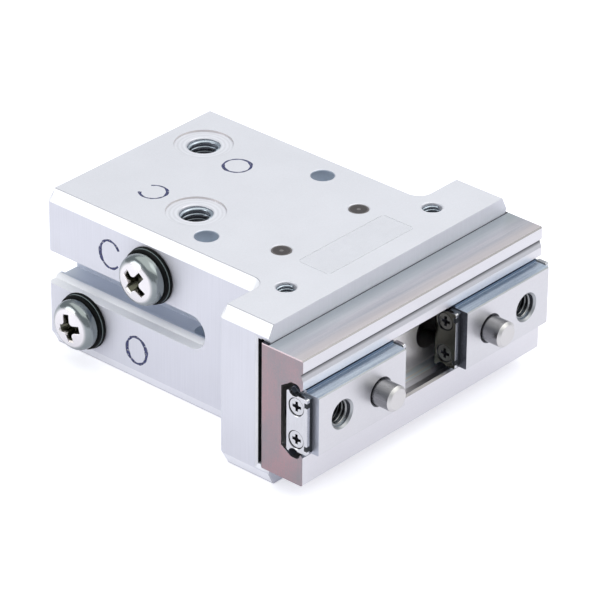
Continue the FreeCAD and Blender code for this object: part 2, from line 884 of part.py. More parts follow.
def finger_section(front, shoulder, groove_radius, front_angle):
    """Edges of a finger's section: a flat front, a ball groove above and below, and a ridge behind each.

    shoulder is half the front's height. A lip stands on it where the groove's front edge is higher.
    """
    edge = finger_edge_chamfer
    front_turn = math.radians(front_angle)
    rear_turn = math.radians(groove_rear_angle)
    lip_half = ball_offset - groove_radius * math.sin(front_turn)
    ridge_half = ball_offset - groove_radius * math.sin(rear_turn)
    groove_front = ball_y - groove_radius * math.cos(front_turn)
    groove_rear = ball_y + groove_radius * math.cos(rear_turn)
    ridge_rear = finger_rear - finger_ridge_chamfer
    corner_half = ridge_half - finger_ridge_chamfer
    edges = []
    for way in (1, -1):
        def at(y, z):
            return section_point(y, way * z)

        groove_start = at(groove_front, lip_half)
        groove_end = at(groove_rear, ridge_half)
        top = [at(front, shoulder - edge), at(front + edge, shoulder)]
        if lip_half > shoulder:
            top += [at(finger_lip_front, shoulder), at(finger_lip_front, lip_half)]
        edges += chain(top + [groove_start])
        edges.append(arc(groove_start, at(ball_y, ball_offset - groove_radius), groove_end))
        edges += chain([groove_end, at(ridge_rear, ridge_half), at(finger_rear, corner_half)])
    edges.append(line(section_point(front, shoulder - edge), section_point(front, edge - shoulder)))
    edges.append(line(section_point(finger_rear, corner_half), section_point(finger_rear, -corner_half)))
    return edges


def lever_pocket():
    """The pocket in the finger's back that the lever's round tip works in."""
    half_width = lever_tip_radius + linkage_play
    half_height = lever_half + room_clearance
    return block(
        (pocket_x - half_width, pocket_x + half_width),
        (guide_front_y + pocket_floor, guide_front_y + finger_rear),
        (mid_z - half_height, mid_z + half_height),
    )


def finger_dowel_place():
    return (finger_open_inset + finger_dowel_inset, finger_front_y, mid_z)


def finger_dowel_depth():
    return finger_reach + pocket_floor - finger_dowel_web


def finger_block():
    """Right-hand finger block, with its jaw thread, dowel hole, lever pocket and end-plate screw holes."""
    section = finger_section(-finger_reach, finger_shoulder, raceway_radius, groove_front_angle)
    finger = extruded(section, (finger_length, 0, 0))
    finger.translate(Vector(finger_open_inset, 0, 0))
    thread_radius = finger_thread_diameter / 2
    thread_mouth = (finger_end - finger_thread_inset, finger_front_y, mid_z)
    dowel_radius = finger_dowel_shank_diameter / 2 + seat_clearance
    dowel_mouth = finger_dowel_diameter / 2 + finger_dowel_mouth - dowel_radius
    cuts = [
        lever_pocket(),
        bar(thread_radius, thread_mouth, (0, 1, 0), finger_reach + finger_rear),
        edge_break(thread_radius, thread_mouth, (0, 1, 0), finger_thread_mouth),
        bar(dowel_radius, finger_dowel_place(), (0, 1, 0), finger_dowel_depth()),
        edge_break(dowel_radius, finger_dowel_place(), (0, 1, 0), dowel_mouth),
    ]
    hole_depth = plate_screw_length + plate_screw_sink() - plate_thickness - wiper_thickness
    for x, outward in end_places().values():
        for way in (1, -1):
            mouth = (x, guide_front_y + plate_screw_depth, mid_z + way * plate_screw_offset)
            cuts.append(bar(plate_screw_diameter / 2 + seat_clearance, mouth, (-outward, 0, 0), hole_depth))
    return finger.cut(cuts).removeSplitter()


def finger_pin():
    """Stepped dowel that places the jaw, with a shank pressed into a countersunk hole."""
    radius = finger_dowel_diameter / 2
    x, front_y, z = finger_dowel_place()
    straight = finger_dowel_reach - finger_dowel_chamfer
    shank = bar(finger_dowel_shank_diameter / 2, (x, front_y, z), (0, 1, 0), finger_dowel_depth())
    free = bar(radius, (x, front_y, z), (0, -1, 0), straight)
    tip_start = Vector(x, front_y - straight, z)
    tip_radius = radius - finger_dowel_chamfer
    tip = Part.makeCone(radius, tip_radius, finger_dowel_chamfer, tip_start, Vector(0, -1, 0))
    return shank.fuse([free, tip]).removeSplitter()


def ball_rows():
    """The loaded balls of both rows, between the finger's grooves and the guide's raceways."""
    first_x = finger_open_inset + finger_length / 2 - ball_pitch * (balls_per_row - 1) / 2
    balls = []
    for way in (1, -1):
        for i in range(balls_per_row):
            place = section_point(ball_y, way * ball_offset) + Vector(first_x + i * ball_pitch, 0, 0)
            balls.append(Part.makeSphere(ball_radius, place))
    return Part.makeCompound(balls)


# End plates and wipers


def end_places():
    """The inner and the outer end of the right-hand finger, each with the way outwards along X."""
    return {"inner": (finger_open_inset, -1), "outer": (finger_end, 1)}


def plate_screw_sink():
    """How far the smaller screw head sits below the plate's face in its countersink."""
    slope = (plate_screw_head_diameter - plate_screw_diameter) / plate_screw_head_height
    return (plate_countersink_diameter - plate_screw_head_diameter) / slope


def plate_screw_places(end):
    """The middle of each screw head's face, with the way into the finger."""
    x, outward = end_places()[end]
    face_x = x + outward * (plate_thickness + wiper_thickness - plate_screw_sink())
    y = guide_front_y + plate_screw_depth
    return [((face_x, y, mid_z + way * plate_screw_offset), (-outward, 0, 0)) for way in (1, -1)]


def end_sheet(near_x, outward, thickness, setback, groove_radius):
    """A flat sheet of the finger's section that starts at near_x, set back from the finger's front."""
    shoulder = ball_offset - groove_radius * math.sin(math.radians(plate_front_angle))
    section = finger_section(setback - finger_reach, shoulder, groove_radius, plate_front_angle)
    sheet = extruded(section, (thickness, 0, 0))
    sheet.translate(Vector(min(near_x, near_x + outward * thickness), 0, 0))
    return sheet


def plate_notches(end, clearance):
    """The cuts of an end plate's two front notches or, with a clearance, the wiper's nubs that fill them."""
    x, outward = end_places()[end]
    sides = sorted((x + outward * wiper_thickness, x + outward * (wiper_thickness + plate_thickness)))
    front_y = finger_front_y + plate_setback
    depth = (front_y + clearance, front_y + plate_notch_depth - clearance)
    half = plate_notch_height / 2 - clearance
    places = (mid_z - plate_notch_offset, mid_z + plate_notch_offset)
    return [block(sides, depth, (z - half, z + half)) for z in places]


def end_seal(end):
    """Rubber wiper between the finger block and its end plate, hooked into the plate's notches."""
    x, outward = end_places()[end]
    groove_radius = raceway_radius + plate_step / 2 + wiper_step / 2
    wiper = end_sheet(x, outward, wiper_thickness, plate_setback + wiper_step, groove_radius)
    radius = plate_screw_diameter / 2 + screw_hole_clearance
    places = plate_screw_places(end)
    wiper = wiper.cut([bar(radius, place, inward, plate_screw_length) for place, inward in places])
    return wiper.fuse(plate_notches(end, seat_clearance)).removeSplitter()


def end_plate(end):
    """Pressed steel plate that holds the wiper, with two countersunk holes and two front notches."""
    x, outward = end_places()[end]
    near_x = x + outward * wiper_thickness
    groove_radius = raceway_radius + plate_step / 2
    plate = end_sheet(near_x, outward, plate_thickness, plate_setback, groove_radius)
    mouth = plate_countersink_diameter / 2 + seat_clearance
    throat = plate_screw_diameter / 2 + seat_clearance
    shank = plate_screw_diameter / 2 + screw_hole_clearance
    depth = plate_screw_sink() + plate_screw_head_height
    cuts = plate_notches(end, 0)
    for place, inward in plate_screw_places(end):
        face = Vector(*place) - Vector(*inward) * plate_screw_sink()
        cuts.append(bar(shank, face, inward, plate_thickness))
        cuts.append(Part.makeCone(mouth, throat, depth, face, Vector(*inward)))
    return plate.cut(cuts)


def plate_screw():
    """Countersunk cross-recess screw, with its head's face at z = 0."""
    shank = plate_screw_diameter / 2
    head_start = Vector(0, 0, -plate_screw_head_height)
    head = Part.makeCone(shank, plate_screw_head_diameter / 2, plate_screw_head_height, head_start)
    shank_length = plate_screw_length - plate_screw_head_height
    screw = head.fuse(bar(shank, (0, 0, -plate_screw_length), (0, 0, 1), shank_length))
    recess = cross_recess(plate_screw_recess_span, plate_screw_recess_width, plate_screw_recess_depth, 0)
    return screw.cut(recess).removeSplitter()


def plate_screws():
    screws = []
    for end in end_places():
        for place, (inward, _, _) in plate_screw_places(end):
            screws.append(pointed(plate_screw(), place, (-inward, 0, 0)))
    return Part.makeCompound(screws)


# Port plugs


def plug_screw():
    """Pan-head cross-recess screw, with the underside of its head at z = 0."""
    radius = plug_head_diameter / 2
    turn = math.radians(plug_corner_angle)
    corner = Vector(radius - plug_corner_radius, 0, plug_head_edge)
    shoulder = corner + Vector(math.cos(turn), 0, math.sin(turn)) * plug_corner_radius
    crown = corner + Vector(math.cos(turn / 2), 0, math.sin(turn / 2)) * plug_corner_radius
    drop = corner.x / math.cos(turn)
    dome_radius = drop + plug_corner_radius
    dome = Vector(0, 0, plug_head_edge - drop * math.sin(turn))
    lean = (math.pi / 2 + turn) / 2
    dome_middle = dome + Vector(math.cos(lean), 0, math.sin(lean)) * dome_radius
    top = dome + Vector(0, 0, dome_radius)
    rim = Vector(radius, 0, plug_head_edge)
    edges = chain([top, Vector(0, 0, 0), Vector(radius, 0, 0), rim])
    edges += [arc(rim, crown, shoulder), arc(shoulder, dome_middle, top)]
    head = filled(edges).revolve(Vector(0, 0, 0), Vector(0, 0, 1), 360)
    shank_length = gasket_thickness + port_depth - plug_end_gap
    shank = bar(port_diameter / 2 - seat_clearance, (0, 0, -shank_length), (0, 0, 1), shank_length)
    recess = cross_recess(plug_recess_span, plug_recess_width, plug_recess_depth, top.z)
    return head.fuse(shank).cut(recess).removeSplitter()


def port_plug(y, z, turn):
    screw = plug_screw()
    screw.rotate(Vector(0, 0, 0), Vector(0, 0, 1), turn)
    return pointed(Part.makeCompound([screw]), (-body_width / 2 - gasket_thickness, y, z), (-1, 0, 0))


def port_gasket(y, z):
    """Sealing washer with two round lips, the larger one against the body."""
    bore = port_diameter / 2
    waist = gasket_waist_diameter / 2
    half = gasket_thickness / 2

    def at(radius, height):
        return Vector(radius, 0, height)

    body_lip = arc(at(waist, 0), at(gasket_diameter / 2, half / 2), at(waist, half))
    head_lip = arc(at(waist, half), at(gasket_head_lip_diameter / 2, half + half / 2), at(waist, 2 * half))
    flats = chain([at(waist, 0), at(bore, 0), at(bore, 2 * half), at(waist, 2 * half)])
    washer = filled(flats + [body_lip, head_lip]).revolve(Vector(0, 0, 0), Vector(0, 0, 1), 360)
    return pointed(Part.makeCompound([washer]), (-body_width / 2, y, z), (-1, 0, 0))


def pieces():
    """Every piece by its node's name."""
    close_z = mid_z + side_port_offset
    open_z = mid_z - side_port_offset
    nodes = {
        "body_block": body_block(),
        "end_cap": end_cap(),
        "end_cap_seal": end_cap_seal(),
        "retaining_ring": retaining_ring(),
        "rod_bush": rod_bush(),
        "rod_seal": rod_seal(),
        "rod_bush_seal": rod_bush_seal(),
        "piston": piston(),
        "piston_seal": piston_seal(),
        "piston_magnet": piston_magnet(),
        "piston_nut": piston_nut(),
        "piston_rod": piston_rod(),
        "rod_clevis": rod_clevis(),
        "clevis_pin": clevis_pin(),
        "left_lever": left_lever(),
        "right_lever": right_lever(),
        "left_pivot_pin": pivot_pin(-1),
        "right_pivot_pin": pivot_pin(1),
        "guide_rail": guide_rail(),
        "guide_screws": guide_screws(),
        "close_port_plug": port_plug(close_port_y, close_z, close_plug_turn),
        "open_port_plug": port_plug(open_port_y, open_z, open_plug_turn),
        "close_port_gasket": port_gasket(close_port_y, close_z),
        "open_port_gasket": port_gasket(open_port_y, open_z),
    }
    finger_pieces = {
        "finger_block": finger_block(),
        "finger_pin": finger_pin(),
        "ball_rows": ball_rows(),
        "plate_screws": plate_screws(),
        "inner_end_seal": end_seal("inner"),
        "outer_end_seal": end_seal("outer"),
        "inner_end_plate": end_plate("inner"),
        "outer_end_plate": end_plate("outer"),
    }
    for name, shape in finger_pieces.items():
        nodes[f"right_{name}"] = shape
        nodes[f"left_{name}"] = mirrored(shape)
    return nodes


os.makedirs("parts", exist_ok=True)
for name, shape in pieces().items():
    shape.exportStep(f"parts/{name}.step")
print(f"lever swing {2 * lever_swing:.6f} rad, piston stroke {piston_stroke:.6f} mm")
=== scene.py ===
import json
import math

import bmesh
import bpy
from mathutils import Matrix, Vector


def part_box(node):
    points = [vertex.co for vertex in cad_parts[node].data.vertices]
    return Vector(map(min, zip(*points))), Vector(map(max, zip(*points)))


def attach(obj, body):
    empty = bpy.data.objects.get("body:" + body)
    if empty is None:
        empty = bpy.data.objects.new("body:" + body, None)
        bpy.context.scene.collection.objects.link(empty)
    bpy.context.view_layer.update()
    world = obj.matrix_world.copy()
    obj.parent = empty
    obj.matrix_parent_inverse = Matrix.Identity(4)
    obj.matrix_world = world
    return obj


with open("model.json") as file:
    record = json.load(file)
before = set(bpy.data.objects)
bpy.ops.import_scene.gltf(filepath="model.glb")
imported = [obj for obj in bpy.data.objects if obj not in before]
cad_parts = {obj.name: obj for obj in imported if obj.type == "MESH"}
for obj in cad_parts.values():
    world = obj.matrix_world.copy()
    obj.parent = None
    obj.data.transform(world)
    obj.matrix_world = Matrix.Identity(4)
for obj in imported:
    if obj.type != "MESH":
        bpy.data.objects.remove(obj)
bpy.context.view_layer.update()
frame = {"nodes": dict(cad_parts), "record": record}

# The body block is milled from one bar of aluminium and clear anodised. The cylinder bore, the lever
# room, the air ports and the sensor grooves are cut in it, and every other piece is fixed to it.
MM = 0.001
TURN = 2 * math.pi
NEAR = 0.1


class Reading:
    """A number that changes over a surface. Python's operators add the Math nodes for it."""

    def __init__(self, finish, socket):
        self.finish = finish
        self.socket = socket

    def math(self, operation, first, second=0.0):
        return self.finish.node("ShaderNodeMath", {"operation": operation}, {0: first, 1: second})

    def __add__(self, other):
        return self.math("ADD", self, other)

    def __sub__(self, other):
        return self.math("SUBTRACT", self, other)

    def __rsub__(self, other):
        return self.math("SUBTRACT", other, self)

    def __mul__(self, other):
        return self.math("MULTIPLY", self, other)

    def __truediv__(self, other):
        return self.math("DIVIDE", self, other)

    def __lt__(self, other):
        return self.math("LESS_THAN", self, other)

    def __gt__(self, other):
        return self.math("GREATER_THAN", self, other)

    def __abs__(self):
        return self.math("ABSOLUTE", self)

    __radd__ = __add__
    __rmul__ = __mul__

    def between(self, low, high, blur):
        """1 where this number lies between low and high, fading to 0 over blur outside them."""
        rise = self.math("SMOOTH_MIN", (self - low) / blur + 1, 1.0)
        fall = self.math("SMOOTH_MIN", (high - self) / blur + 1, 1.0)
        return self.math("MAXIMUM", self.math("MINIMUM", rise, fall), 0.0)

    def clamp(self):
        """This number, held between 0 and 1."""
        return self.math("MINIMUM", self.math("MAXIMUM", self, 0.0), 1.0)

    def wave(self, pitch):
        """A sine wave from 0 to 1 along this number, in the number's own unit."""
        return self.math("SINE", self * (TURN / pitch)) * 0.5 + 0.5


class Finish:
    """A procedural material. What is the same all over goes straight to the shader's sockets."""

    def __init__(self, name, constants):
        self.material = bpy.data.materials.new(name)
        self.material.use_nodes = True
        self.tree = self.material.node_tree
        self.shader = self.tree.nodes["Principled BSDF"]
        for socket, value in constants.items():
            self.shader.inputs[socket].default_value = value

    def node(self, kind, settings, inputs, output=0):
        """Adds one node: its settings first, then the values and links of its sockets."""
        made = self.tree.nodes.new(kind)
        for setting, value in settings.items():
            setattr(made, setting, value)
        for socket, value in inputs.items():
            if isinstance(value, Reading):
                self.tree.links.new(value.socket, made.inputs[socket])
            else:
                made.inputs[socket].default_value = value
        return Reading(self, made.outputs[output])

    def feed(self, socket, reading):
        """Links a reading to one of the shader's sockets."""
        self.tree.links.new(reading.socket, self.shader.inputs[socket])

    def place(self, per_mm):
        """The place on the piece, counted per_mm times in each millimetre along x, y and z."""
        here = self.node("ShaderNodeTexCoord", {}, {}, "Object")
        scale = [count / MM for count in per_mm]
        return self.node("ShaderNodeVectorMath", {"operation": "MULTIPLY"}, {0: here, 1: scale})

    def grain(self, per_mm, detail=2.0):
        """Noise with that many grains in a millimetre along x, y and z."""
        settings = {"normalize": True}
        inputs = {"Vector": self.place(per_mm), "Scale": 1.0, "Detail": detail}
        return self.node("ShaderNodeTexNoise", settings, inputs)

    def off_axis(self, centre, across):
        """Distance in millimetres from an axis through centre. across is 1 in the directions across it."""
        flat = [c * a for c, a in zip(centre, across)]
        settings = {"operation": "DISTANCE"}
        return self.node("ShaderNodeVectorMath", settings, {0: self.place(across), 1: flat}, "Value")

    def off_nearest(self, centres, across):
        """Distance in millimetres from the nearest of several axes that run the same way."""
        nearest = self.off_axis(centres[0], across)
        for centre in centres[1:]:
            nearest = nearest.math("MINIMUM", nearest, self.off_axis(centre, across))
        return nearest

    def along(self, axis):
        """The place along an axis, in millimetres."""
        return self.node("ShaderNodeSeparateXYZ", {}, {0: self.place((1, 1, 1))}, axis)

    def lean(self, axis):
        """How far the surface faces along that axis, either way, from 0 to 1."""
        normal = self.node("ShaderNodeNewGeometry", {}, {}, "Normal")
        return abs(self.node("ShaderNodeSeparateXYZ", {}, {0: normal}, axis))

    def facing(self, axis):
        """1 where the surface faces along that axis, either way, and 0 elsewhere."""
        return self.lean(axis) > 0.75

    def mix(self, share, first, second):
        """A colour between two colours."""
        inputs = {0: share, 6: first, 7: second}
        return self.node("ShaderNodeMix", {"data_type": "RGBA"}, inputs, 2)

    def relief(self, height, depth, edge):
        """Bump of that depth over edges that are broken by the radius edge, both in millimetres."""
        rounded = self.node("ShaderNodeBevel", {"samples": 6}, {"Radius": edge * MM})
        inputs = {"Strength": 1.0, "Distance": depth * MM, "Height": height, "Normal": rounded}
        self.feed("Normal", self.node("ShaderNodeBump", {}, inputs))


def tone(colour, level=1.0):
    """A colour with its level changed, as the four numbers of a socket."""
    return tuple(channel * level for channel in colour) + (1.0,)


def dress(finish, *names):
    """Gives CAD nodes that finish."""
    for name in names:
        frame["nodes"][name].material_slots[0].material = finish.material


mounts = {mount["name"]: mount for mount in frame["record"]["mounts"]}


def mount_place(name):
    """The place of one of the record's mounts, in millimetres."""
    return [c / MM for c in mounts[name]["pos_m"]]


BODY_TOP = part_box("body_block")[1].z / MM
MID_HEIGHT = BODY_TOP / 2
GUIDE_FRONT, GUIDE_REAR = [corner.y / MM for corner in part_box("guide_rail")]
GUIDE_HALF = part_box("guide_rail")[1].z / MM - MID_HEIGHT
LIP_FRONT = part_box("body_block")[0].y / MM
LEFT_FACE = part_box("open_port_gasket")[1].x / MM
ANODISED = (0.75, 0.75, 0.80)
ANODISED_METALLIC = 0.45
# BEVEL is a painted highlight: the rounded edges and the chamfers at the guide's seat are coloured near
# white.
BEVEL = (0.94, 0.94, 0.96)
BEVEL_LEAN = (0.37, 0.53)
BEVEL_RISE = 0.7
UNLIT = (0.02, 0.02, 0.024)
# BEVEL_EDGE is painted shade: a dark line along the top and front borders of the rounded edges.
BEVEL_EDGE = (0.46, 0.46, 0.49)
BEVEL_EDGE_WIDTH = 0.13
SEAT_DEPTH = 0.87
SEAT_MARGIN = 0.05
SEAT_BEVEL_DEPTH = 1.3
DIAGONAL = 0.707
HOLE_SKIN = 0.08
# HOLE_WALL is painted shade and light: the walls of the base holes are dark at their mouths and lighter
# deeper in.
HOLE_WALL = ((0.38, 0.43, 0.51), (0.78, 0.84, 0.92))
# PORT_WALL is painted shade: a darker ring on the wall of each port's spot face.
PORT_WALL = (0.64, 0.605, 0.605)
# GROOVE_DEEP is painted shade: the sensor grooves are darker and bluer inside.
GROOVE_DEEP = (0.62, 0.66, 0.74)
# GROOVE_LIP is painted light: the outer part of each groove, up to the rib, is near white and not
# metallic, to look lit in the groove's shade.
GROOVE_LIP = (0.96, 0.96, 0.98)
GROOVE_HALF = 2.8
GROOVE_DEPTHS = (0.03, 6.3)
RIB_DEPTH = 2.55
PORT_FACE_RADIUS = 4.5
PORT_WALL_HEIGHT = 0.6
TOOL_MARK_PITCH = 0.62

anodised = Finish("clear_anodised_aluminium", {})
draw_lines = anodised.grain((6.0, 6.0, 0.1), 3.0)
clouds = anodised.grain((0.12, 0.12, 0.12))
blast = anodised.grain((11.0, 11.0, 11.0))
body_x = anodised.along("X")
body_y = anodised.along("Y")
off_middle = abs(anodised.along("Z") - MID_HEIGHT)
near_top_walls = (1 - anodised.facing("Z")) * (off_middle > MID_HEIGHT - PORT_WALL_HEIGHT)
port_faces = 0.0
port_walls = 0.0
rings = 0.0
for port in ("open_air_port", "close_air_port"):
    from_port = anodised.off_axis(mount_place(port), (1, 1, 0))
    port_face = from_port < PORT_FACE_RADIUS
    port_faces = port_face + port_faces
    port_walls = (abs(from_port - PORT_FACE_RADIUS) < NEAR) * near_top_walls + port_walls
    rings = port_face * from_port.wave(TOOL_MARK_PITCH) + rings
hole_walls = 0.0
base_holes = mounts["base_holes"]["dims"]
for way in (-0.5, 0.5):
    from_hole = anodised.off_axis((way * base_holes["spacing_x_mm"], 0.0, 0.0), (1, 1, 0))
    hole_walls = (from_hole < base_holes["hole_r_mm"] + HOLE_SKIN) + hole_walls
# Painted highlight on the rounded edges and on the seat chamfers, which take the colour BEVEL.
bevels = anodised.lean("Z").between(*BEVEL_LEAN, 0.02) * (off_middle > GUIDE_HALF + BEVEL_RISE)
bevel_tops = off_middle > MID_HEIGHT - BEVEL_EDGE_WIDTH
bevel_fronts = body_y < LIP_FRONT + BEVEL_EDGE_WIDTH
bevel_edges = bevels * bevels.math("MAXIMUM", bevel_tops, bevel_fronts)
# Painted shade: the seat face beside the guide's rear end, where the guide shades it, is near black.
under_guide = (body_y < GUIDE_REAR + SEAT_DEPTH) * (off_middle < GUIDE_HALF - SEAT_MARGIN)
slanted = (abs(anodised.lean("X") - DIAGONAL) < NEAR) * (abs(anodised.lean("Y") - DIAGONAL) < NEAR)
seat_bevels = slanted * (body_y < GUIDE_REAR + SEAT_BEVEL_DEPTH)
side_depth = abs(LEFT_FACE) - abs(body_x)
in_groove = (off_middle < GROOVE_HALF) * side_depth.between(*GROOVE_DEPTHS, 0.01)
groove_lips = in_groove * (side_depth < RIB_DEPTH)
body_light = draw_lines * 0.6 + clouds * 0.4 + port_faces * 0.5 - rings * 0.55
body_colour = anodised.mix(body_light, tone(ANODISED, 0.9), tone(ANODISED, 1.1))
for share, colour in (
    (bevels, BEVEL),
    (bevel_edges, BEVEL_EDGE),
    (seat_bevels, BEVEL),
    (port_walls, PORT_WALL),
    (in_groove, GROOVE_DEEP),
    (groove_lips, GROOVE_LIP),
    (under_guide, UNLIT),
):
    body_colour = anodised.mix(share, body_colour, tone(colour))
hole_tone = anodised.mix((MID_HEIGHT - off_middle) * 0.5, *[tone(colour) for colour in HOLE_WALL])
anodised.feed("Base Color", anodised.mix(hole_walls, body_colour, hole_tone))
anodised.feed("Metallic", ANODISED_METALLIC - groove_lips * ANODISED_METALLIC)
anodised.feed("Roughness", 0.38 + draw_lines * 0.12 + blast * 0.08 - rings * 0.1)
anodised.relief(draw_lines * 0.6 + blast * 0.4 + rings * 1.2, 0.004, 0.12)
dress(anodised, "body_block")

# Threads are cut with a tap: M5 in the two air ports and M3 in the flange. The bare cut ridges stand
# in from the wall of each hole, which has the thread's full diameter.
FLANGE_TAPS = [(x, -18.3, z) for x in (-15.9, 15.9) for z in (22.9, 3.1)]
PORT_THREAD = (2.5, 0.8, 4.2)
FLANGE_THREAD = (1.5, 0.5, 5.0)
RIDGE = ((-0.06, -0.47), (-0.06, 0.47), (0.54, 0.07), (0.54, -0.07))
CUT_METAL = (0.50, 0.56, 0.62)
LIT_DEPTHS = (-1.0, 1.0, 1.8)


def thread_tree():
    """Geometry nodes: one coil of thread at every point of the mesh that carries it."""
    tree = bpy.data.node_groups.new("tapped_thread", "GeometryNodeTree")
    sockets = {}
    for name, kind in (
        ("Holes", "NodeSocketGeometry"),
        ("Wall Radius", "NodeSocketFloat"),
        ("Pitch", "NodeSocketFloat"),
        ("Length", "NodeSocketFloat"),
        ("Turn", "NodeSocketRotation"),
        ("Finish", "NodeSocketMaterial"),
    ):
        sockets[name] = tree.interface.new_socket(name, in_out="INPUT", socket_type=kind).identifier
    tree.interface.new_socket("Threads", in_out="OUTPUT", socket_type="NodeSocketGeometry")
    given = tree.nodes.new("NodeGroupInput").outputs

    def node(kind, settings, inputs, output=0):
        made = tree.nodes.new(kind)
        for setting, value in settings.items():
            setattr(made, setting, value)
        for socket, value in inputs.items():
            if isinstance(value, bpy.types.NodeSocket):
                tree.links.new(value, made.inputs[socket])
            else:
                made.inputs[socket].default_value = value
        return made.outputs[output]

    turns = node("ShaderNodeMath", {"operation": "DIVIDE"}, {0: given["Length"], 1: given["Pitch"]})
    helix_inputs = {"Resolution": 40, "Rotations": turns, "Height": given["Length"]}
    helix_inputs.update({"Start Radius": given["Wall Radius"], "End Radius": given["Wall Radius"]})
    helix = node("GeometryNodeCurveSpiral", {}, helix_inputs)
    level_helix = node("GeometryNodeSetCurveNormal", {"mode": "Z_UP"}, {"Curve": helix})
    corners = {f"Point {i + 1}": (x, y, 0.0) for i, (x, y) in enumerate(RIDGE)}
    outline = node("GeometryNodeCurvePrimitiveQuadrilateral", {"mode": "POINTS"}, corners)
    ridge = node("GeometryNodeTransform", {}, {"Geometry": outline, "Scale": given["Pitch"]})
    swept_inputs = {"Curve": level_helix, "Profile Curve": ridge, "Fill Caps": True}
    coil = node("GeometryNodeCurveToMesh", {}, swept_inputs)
    half = node("ShaderNodeMath", {"operation": "MULTIPLY"}, {0: given["Length"], 1: -0.5})
    drop = node("ShaderNodeCombineXYZ", {}, {"Z": half})
    centred = node("GeometryNodeTransform", {}, {"Geometry": coil, "Translation": drop})
    placed_inputs = {"Points": given["Holes"], "Instance": centred, "Rotation": given["Turn"]}
    placed = node("GeometryNodeInstanceOnPoints", {}, placed_inputs)
    real = node("GeometryNodeRealizeInstances", {}, {"Geometry": placed})
    finished = node("GeometryNodeSetMaterial", {}, {"Geometry": real, "Material": given["Finish"]})
    tree.links.new(finished, tree.nodes.new("NodeGroupOutput").inputs[0])
    return tree, sockets


tapped_thread, thread_sockets = thread_tree()


def outward(mesh):
    """Merges doubled points and turns every face to the outside."""
    work = bmesh.new()
    work.from_mesh(mesh)
    bmesh.ops.remove_doubles(work, verts=work.verts, dist=0.0005 * MM)
    bmesh.ops.recalc_face_normals(work, faces=work.faces)
    work.to_mesh(mesh)
    work.free()


def piece_of(name, mesh, body):
    """An object at the origin that rides on a body."""
    piece = bpy.data.objects.new(name, mesh)
    bpy.context.scene.collection.objects.link(piece)
    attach(piece, body)
    return piece


def cut_threads(name, holes, sizes, turn, finish, body):
    """Threads of one size in holes that run the same way. sizes are wall radius, pitch and length."""
    carrier_mesh = bpy.data.meshes.new(name + "_holes")
    carrier_mesh.from_pydata([[c * MM for c in hole] for hole in holes], [], [])
    carrier = bpy.data.objects.new(name + "_carrier", carrier_mesh)
    bpy.context.scene.collection.objects.link(carrier)
    modifier = carrier.modifiers.new("threads", "NODES")
    modifier.node_group = tapped_thread
    for socket, value in zip(("Wall Radius", "Pitch", "Length"), sizes):
        modifier[thread_sockets[socket]] = value * MM
    modifier[thread_sockets["Turn"]] = turn
    modifier[thread_sockets["Finish"]] = finish.material
    ready = carrier.evaluated_get(bpy.context.evaluated_depsgraph_get())
    mesh = bpy.data.meshes.new_from_object(ready)
    mesh.name = name
    bpy.data.objects.remove(carrier)
    outward(mesh)
    return piece_of(name, mesh, body)


def fresh_cut(name, colour):
    """Bare metal as a tap leaves it, and its colour before any shading."""
    finish = Finish(name, {"Metallic": 1.0})
    chatter = finish.grain((9.0, 9.0, 9.0))
    finish.feed("Roughness", 0.16 + chatter * 0.16)
    return finish, finish.mix(chatter, tone(colour, 0.6), tone(colour, 1.3))


cut_metal, cut_colour = fresh_cut("freshly_cut_aluminium", CUT_METAL)
# Painted shade: the threads keep their colour near each mouth and fade to near black from about 1 mm to 3
# mm in.
hole_depth = MID_HEIGHT - abs(cut_metal.along("Z") - MID_HEIGHT)
near_mouth = hole_depth.between(*LIT_DEPTHS)
cut_metal.feed("Base Color", cut_metal.mix(near_mouth, tone(UNLIT), cut_colour))
ports = [mount_place("open_air_port"), mount_place("close_air_port")]
upright = (0, 0, 0)
cut_threads("port_threads", ports, PORT_THREAD, upright, cut_metal, "housing")
cut_threads("flange_threads", FLANGE_TAPS, FLANGE_THREAD, upright, cut_metal, "housing")

# The rear of the cylinder is closed by a turned aluminium cap. A rubber ring seals it and a spring
# steel ring, snapped into a groove of the bore, keeps it in.
CYLINDER_AXIS = (0.0, 0.0, 13.0)
TURNED = (0.70, 0.71, 0.73)
SPRING = (0.10, 0.10, 0.12)
RUBBER = (0.012, 0.012, 0.014)
LATHE_PITCH = 0.22


def metal(name, colour, roughness, per_mm, depth, edge, tint=0.08):
    """A metal with tool or grinding marks that follow a stretched grain.

    depth of the marks and radius of the broken edge are in millimetres, tint is how far the marks
    darken and lighten the colour.
    """
    finish = Finish(name, {"Metallic": 1.0})
    marks = finish.grain(per_mm, 3.0)
    finish.feed("Base Color", finish.mix(marks, tone(colour, 1 - tint), tone(colour, 1 + tint)))
    finish.feed("Roughness", roughness + (marks - 0.5) * 0.3 * roughness)
    finish.relief(marks, depth, edge)
    return finish


def rubber(name, shine):
    """Moulded rubber with a fine dull grain, and its bloom. Its colour is fed by the piece."""
    finish = Finish(name, {"Specular IOR Level": shine})
    bloom = finish.grain((0.9, 0.9, 0.9), 4.0)
    mould = finish.grain((16.0, 16.0, 16.0))
    finish.feed("Roughness", 0.45 + bloom * 0.2)
    finish.relief(mould, 0.006, 0.06)
    return finish, bloom


